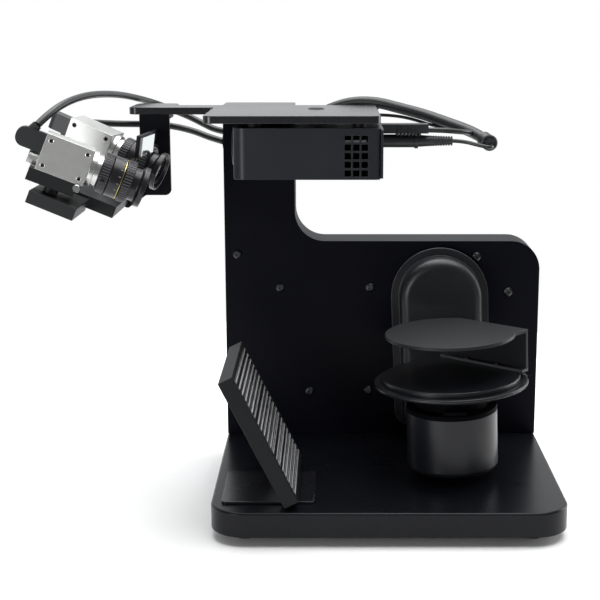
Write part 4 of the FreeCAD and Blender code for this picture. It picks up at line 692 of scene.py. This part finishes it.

# Turntable: a turned black disc with a raised lip round a thinner adapter plate, and a bent sheet
# platform screwed on top. The platform's low foot is painted paler than the rest of it, a painted
# highlight for the light that falls on its top face.
turned_mix = Finish("turned_black")
ring_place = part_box("turntable_disc")
ring_middle = (ring_place[0] + ring_place[1]) / 2
from_middle = Line(turned_mix, turned_mix.node(
    "ShaderNodeVectorMath", {"operation": "DISTANCE"},
    {0: turned_mix.place, 1: tuple(ring_middle)}).outputs["Value"])
groove_pitch = 0.35
groove = turned_mix.node("ShaderNodeMath", {"operation": "SINE"},
                         {0: from_middle * (math.tau / (groove_pitch * MM))})
turned_drift = turned_mix.noise(25.0)
turned_black = turned_mix.done(
    Base_Color=turned_mix.mixed((0.0055, 0.006, 0.008, 1.0), (0.009, 0.0095, 0.012, 1.0), turned_drift),
    Roughness=0.28 + turned_drift * 0.08, Specular_IOR_Level=0.34,
    Normal=turned_mix.bump(Line(turned_mix, groove.outputs[0]), 0.08, 0.02))
coated("turntable_disc", turned_black, 0.3)
coated("adapter_plate", turned_black, 0.3)
platform_mix = Finish("platform_coat_with_foot_highlight")
spin_axis = Vector(joint_of["table_spin"]["axis"]).normalized()
above = Line(platform_mix, platform_mix.node("ShaderNodeVectorMath", {"operation": "DOT_PRODUCT"},
                                             {0: platform_mix.place, 1: tuple(spin_axis)}).outputs["Value"])
lowest = min(corner.co.dot(spin_axis) for corner in frame["nodes"]["platform_bracket"].data.vertices)
foot_rise = 2.4
# Painted highlight: the foot, up to foot_rise above the bracket's lowest point, gets a paler colour for the light
# on it.
foot_highlight_mask = (lowest + foot_rise * MM - above) > 0.0
platform_grain = platform_mix.noise(0.5)
platform_drift = platform_mix.noise(60.0, 3.0)
platform_dark = (0.0105, 0.011, 0.0125, 1.0)
platform_light = (0.0135, 0.014, 0.0155, 1.0)
# Colour of the painted highlight on the foot.
foot_painted_highlight = (0.075, 0.077, 0.082, 1.0)
platform_body = platform_mix.mixed(platform_dark, platform_light, platform_drift)
platform_coat_with_foot_highlight = platform_mix.done(
    Base_Color=platform_mix.mixed(platform_body, foot_painted_highlight, foot_highlight_mask),
    Roughness=0.42 + (platform_drift - 0.5) * 0.1, Normal=platform_mix.bump(platform_grain, 0.25, 0.02),
    Specular_IOR_Level=0.22)
coated("platform_bracket", platform_coat_with_foot_highlight, 0.4)
coated("platform_screws", black_oxide)

# Top plate and camera bracket: flat laser-cut plates. The first carries the projector and has a
# short slot under a low rubber button. The second hangs from the first's left end, bent down to
# carry the cameras.
coated("top_plate", plate_coat, 0.35)
bracket_coat = powder_coat("bracket_coat", (0.0044, 0.0046, 0.0070, 1.0), 0.38, sheen=0.11)
coated("camera_bracket", bracket_coat, 0.4)
button_profile = [(0.0, 1.0), (4.6, 0.9), (6.2, 0.6), (6.8, 0.0), (0.0, -1.0)]
button_place = spot(-58.0, 150.0, 297.5)
slot_plug = turned("slot_plug", button_profile, button_place, (0.0, 0.0, 1.0), soft_rubber)
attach(slot_plug, "frame")

# Cameras: square machined alloy bodies with drilled sides, black mounting blocks and machine-vision
# lenses with knurled focus and iris rings.
blasted_mix = Finish("blasted_alloy")
blast = blasted_mix.noise(0.35, 3.0)
blast_cloud = blasted_mix.noise(10.0)
blasted_alloy = blasted_mix.done(
    Base_Color=blasted_mix.mixed((0.45, 0.455, 0.44, 1.0), (0.54, 0.545, 0.53, 1.0), blast_cloud),
    Metallic=0.75, Roughness=0.42 + (blast - 0.5) * 0.12, Normal=blasted_mix.bump(blast, 0.15, 0.02))
lens_mix = Finish("lens_anodised")
lens_marks = lens_mix.noise(0.5, 3.0)
lens_cloud = lens_mix.noise(9.0)
lens_anodised = lens_mix.done(
    Base_Color=lens_mix.mixed((0.006, 0.0058, 0.0075, 1.0), (0.011, 0.0105, 0.0135, 1.0), lens_cloud),
    Roughness=0.30 + (lens_marks - 0.5) * 0.1, Normal=lens_mix.bump(lens_marks, 0.1, 0.02),
    Specular_IOR_Level=0.42)
polished_ring = metal("polished_ring", (0.66, 0.66, 0.65, 1.0), 0.27)
knurl_black = moulded("knurl_black", (0.045, 0.045, 0.052, 1.0), 0.34)
gold_line = metal("gold_line", (0.62, 0.47, 0.16, 1.0), 0.30)
white_mark = moulded("white_mark", (0.42, 0.42, 0.41, 1.0), 0.5)
# Near-black matt plastic, used as painted shade: inside the camera holes, on the projector's spacers and on the
# louvre's body between its ribs.
painted_shade_black = moulded("painted_shade_black", (0.006, 0.006, 0.0065, 1.0), 0.6)
knurl = Pattern("knurl", count="Int", radius="Float", thick="Float", length="Float")
knurl_spots = knurl.node("GeometryNodeMeshCircle", None,
                         {"Vertices": knurl.inputs["count"], "Radius": knurl.inputs["radius"]})
knurl_rod = knurl.node("GeometryNodeMeshCylinder", None,
                       {"Vertices": 8, "Radius": knurl.inputs["thick"], "Depth": knurl.inputs["length"]})
knurl.repeated(knurl_spots, knurl_rod)
rims = Pattern("hole_rims", across="Float", rise="Float", radius="Float", thick="Float")
rim_spots = rims.node("GeometryNodeMeshGrid", None,
                      {"Size X": rims.inputs["across"], "Size Y": rims.inputs["rise"],
                       "Vertices X": 2, "Vertices Y": 2})
rims.repeated(rim_spots, rims.hoop(rims.inputs["radius"], rims.inputs["thick"], 24))


def on_lens(name, forward):
    """A frame on a camera's lens axis, its Z along the lens."""
    return camera_frame(name) @ Matrix.Translation((forward * MM, 0.0, 0.0)) @ Matrix.Rotation(
        math.radians(90.0), 4, "Y")


def on_side(name, outwards):
    """A frame on a camera's viewer side or far side, its X along the body and its Z outwards."""
    sign = -1.0 if outwards < 0 else 1.0
    return camera_frame(name) @ Matrix.Translation((0.0, outwards * MM, 0.0)) @ Matrix.Rotation(
        math.radians(-90.0 * sign), 4, "X")


lens_rings = (("focus", 31.5, 15.3, 6.4), ("iris", 49.3, 16.2, 6.0))
knurl_thick = 0.56
marks_forward = 42.6
marks_radius = 16.12
mark_thick = 0.17
mark_length = 1.7
half_width = 14.5
holes_apart = 28.8
holes_rise = 19.6
rim_radius = 1.75
rim_thick = 0.28
hole_shade_depth_share = 0.88
hole_shade_radius = 0.8
barrel_line_profile = [(15.6, 44.4), (16.34, 44.5), (16.34, 44.95), (15.6, 45.05)]
clamp_profile = [(0, 0), (2.6, 0), (3.1, 0.5), (3.1, 2.6), (2.6, 3.2), (0, 3.2)]
clamp_place = (15.2, -13.5, -17.4)
for name in "ab":
    coated(f"camera_{name}_body", blasted_alloy, 0.5, 3)
    coated(f"focus_ring_{name}", lens_anodised)
    coated(f"iris_ring_{name}", lens_anodised)
    for ring, forward, radius, length in lens_rings:
        knurl.grown(f"{ring}_knurl_{name}", on_lens(name, forward), f"{ring}_{name}", "lens_black",
                    count=46, radius=radius * MM, thick=knurl_thick * MM, length=length * MM,
                    finish=knurl_black)
    knurl.grown(f"barrel_marks_{name}", on_lens(name, marks_forward), "frame", "lens_black",
                count=18, radius=marks_radius * MM, thick=mark_thick * MM, length=mark_length * MM,
                finish=white_mark)
    for side, outwards in (("near", -half_width), ("far", half_width)):
        rims.grown(f"{side}_hole_rims_{name}", on_side(name, outwards), "frame", "camera_alloy",
                   across=holes_apart * MM, rise=holes_rise * MM, radius=rim_radius * MM,
                   thick=rim_thick * MM, finish=polished_ring)
        # Painted shade: a near-black disc set a little way into each through-hole, for the shade inside it.
        rims.grown(f"{side}_hole_floors_{name}", on_side(name, outwards * hole_shade_depth_share), "frame",
                   "camera_alloy", across=holes_apart * MM, rise=holes_rise * MM,
                   radius=hole_shade_radius * MM, thick=hole_shade_radius * MM, finish=painted_shade_black)
    lens_way = camera_frame(name).to_3x3() @ Vector((1.0, 0.0, 0.0))
    barrel_line = turned(f"barrel_line_{name}", barrel_line_profile, in_camera(name, 0, 0, 0),
                         lens_way, gold_line)
    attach(barrel_line, "frame")
    side_way = camera_frame(name).to_3x3() @ Vector((0.0, -1.0, 0.0))
    clamp_screw = turned(f"clamp_screw_{name}", clamp_profile, in_camera(name, *clamp_place),
                         side_way, polished_ring)
    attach(clamp_screw, "frame")
coated("lens_mount_rings", polished_ring)
coated("lens_barrels", lens_anodised)
glass_mix = Finish("coated_glass")
tint = Line(glass_mix, glass_mix.node("ShaderNodeLayerWeight", None, {"Blend": 0.35}).outputs["Facing"])
coated_glass = glass_mix.done(
    Base_Color=glass_mix.mixed((0.015, 0.03, 0.02, 1.0), (0.07, 0.03, 0.10, 1.0), tint), Roughness=0.03,
    Coat_Weight=0.3, Coat_Roughness=0.02, Specular_IOR_Level=0.25)
coated("lens_glass", coated_glass)
block_coat = powder_coat("block_coat", (0.014, 0.0145, 0.0155, 1.0), 0.40)
coated("camera_mounts", block_coat, 0.5)
plug_plastic = moulded("plug_plastic", (0.016, 0.019, 0.021, 1.0), 0.45)
coated("camera_plugs", plug_plastic)

# Mirror: a front-silvered strip in a thin folded holder, which reaches forward from the camera
# bracket and is painted like it.
mirror_mix = Finish("silvered_glass")
haze = mirror_mix.noise(6.0, 4.0)
silvered_glass = mirror_mix.done(
    Base_Color=mirror_mix.mixed((0.86, 0.92, 0.88, 1.0), (0.90, 0.94, 0.92, 1.0), haze),
    Metallic=1.0, Roughness=0.04 + haze * 0.05)
coated("mirror_glass", silvered_glass)
coated("mirror_holder", bracket_coat)

# Projector: a smooth-painted folded case, hung on four spacers. Its closing panel on the right has
# the holes that the power and video plugs go into.
case_coat = powder_coat("case_coat", (0.0165, 0.0178, 0.0220, 1.0), 0.34, grain=0.3, depth=0.015,
                        strength=0.2)
coated("projector_case", case_coat, 0.3)
coated("projector_end_panel", case_coat, 0.25)
coated("projector_engine", bare_alloy)
# The spacers wear the painted-shade black, so that the gap under the top plate reads as shade.
coated("projector_spacers", painted_shade_black)
coated("projector_lens_tube", lens_anodised)
coated("projector_focus_wheel", socket_plastic)
coated("dc_plug", plug_plastic)
coated("video_plug", plug_plastic)

# Texture lamp: a thin black tray with its board behind a ribbed grey louvre, leaning back on a bent
# sheet stand.
tray_coat = powder_coat("tray_coat", (0.0092, 0.0097, 0.0105, 1.0), 0.50, grain=0.35, strength=0.3,
                        sheen=0.12)
coated("lamp_housing", tray_coat, 0.5)
# The louvre's body, seen between the grey ribs, wears the painted-shade black: painted shade down between the
# ribs.
coated("lamp_louvre", painted_shade_black)
lean = math.radians(63.5)
lamp_way = Vector((-math.cos(lean), 0.0, math.sin(lean)))
lamp_out = Vector((math.sin(lean), 0.0, math.cos(lean)))
lamp_turn = Matrix((lamp_way, lamp_out.cross(lamp_way), lamp_out)).transposed().to_4x4()
lamp_corner = spot(-81.6, 119.0, 2.0)
lamp_place = Matrix.Translation(lamp_corner) @ lamp_turn
rib_width = 2.6
rib_height = 1.6
rib_length = 106.8
rib_pitch = 5.2
ribs_begin = 4.8
ribs_middle = 57.5
louvre_face = 10.7
first_rib = Vector((ribs_begin + rib_width / 2, ribs_middle, louvre_face + rib_height / 2)) * MM
louvre_grey = moulded("louvre_plastic", (0.50, 0.505, 0.52, 1.0), 0.40)
bars.grown("louvre_ribs", lamp_place @ Matrix.Translation(first_rib), "frame", "louvre_plastic", 0.35,
           count=20, pitch=rib_pitch * MM,
           size=(rib_width * MM, rib_length * MM, rib_height * MM), finish=louvre_grey)
coated("lamp_board", board_finish)
coated("lamp_stand", plate_coat, 0.3)
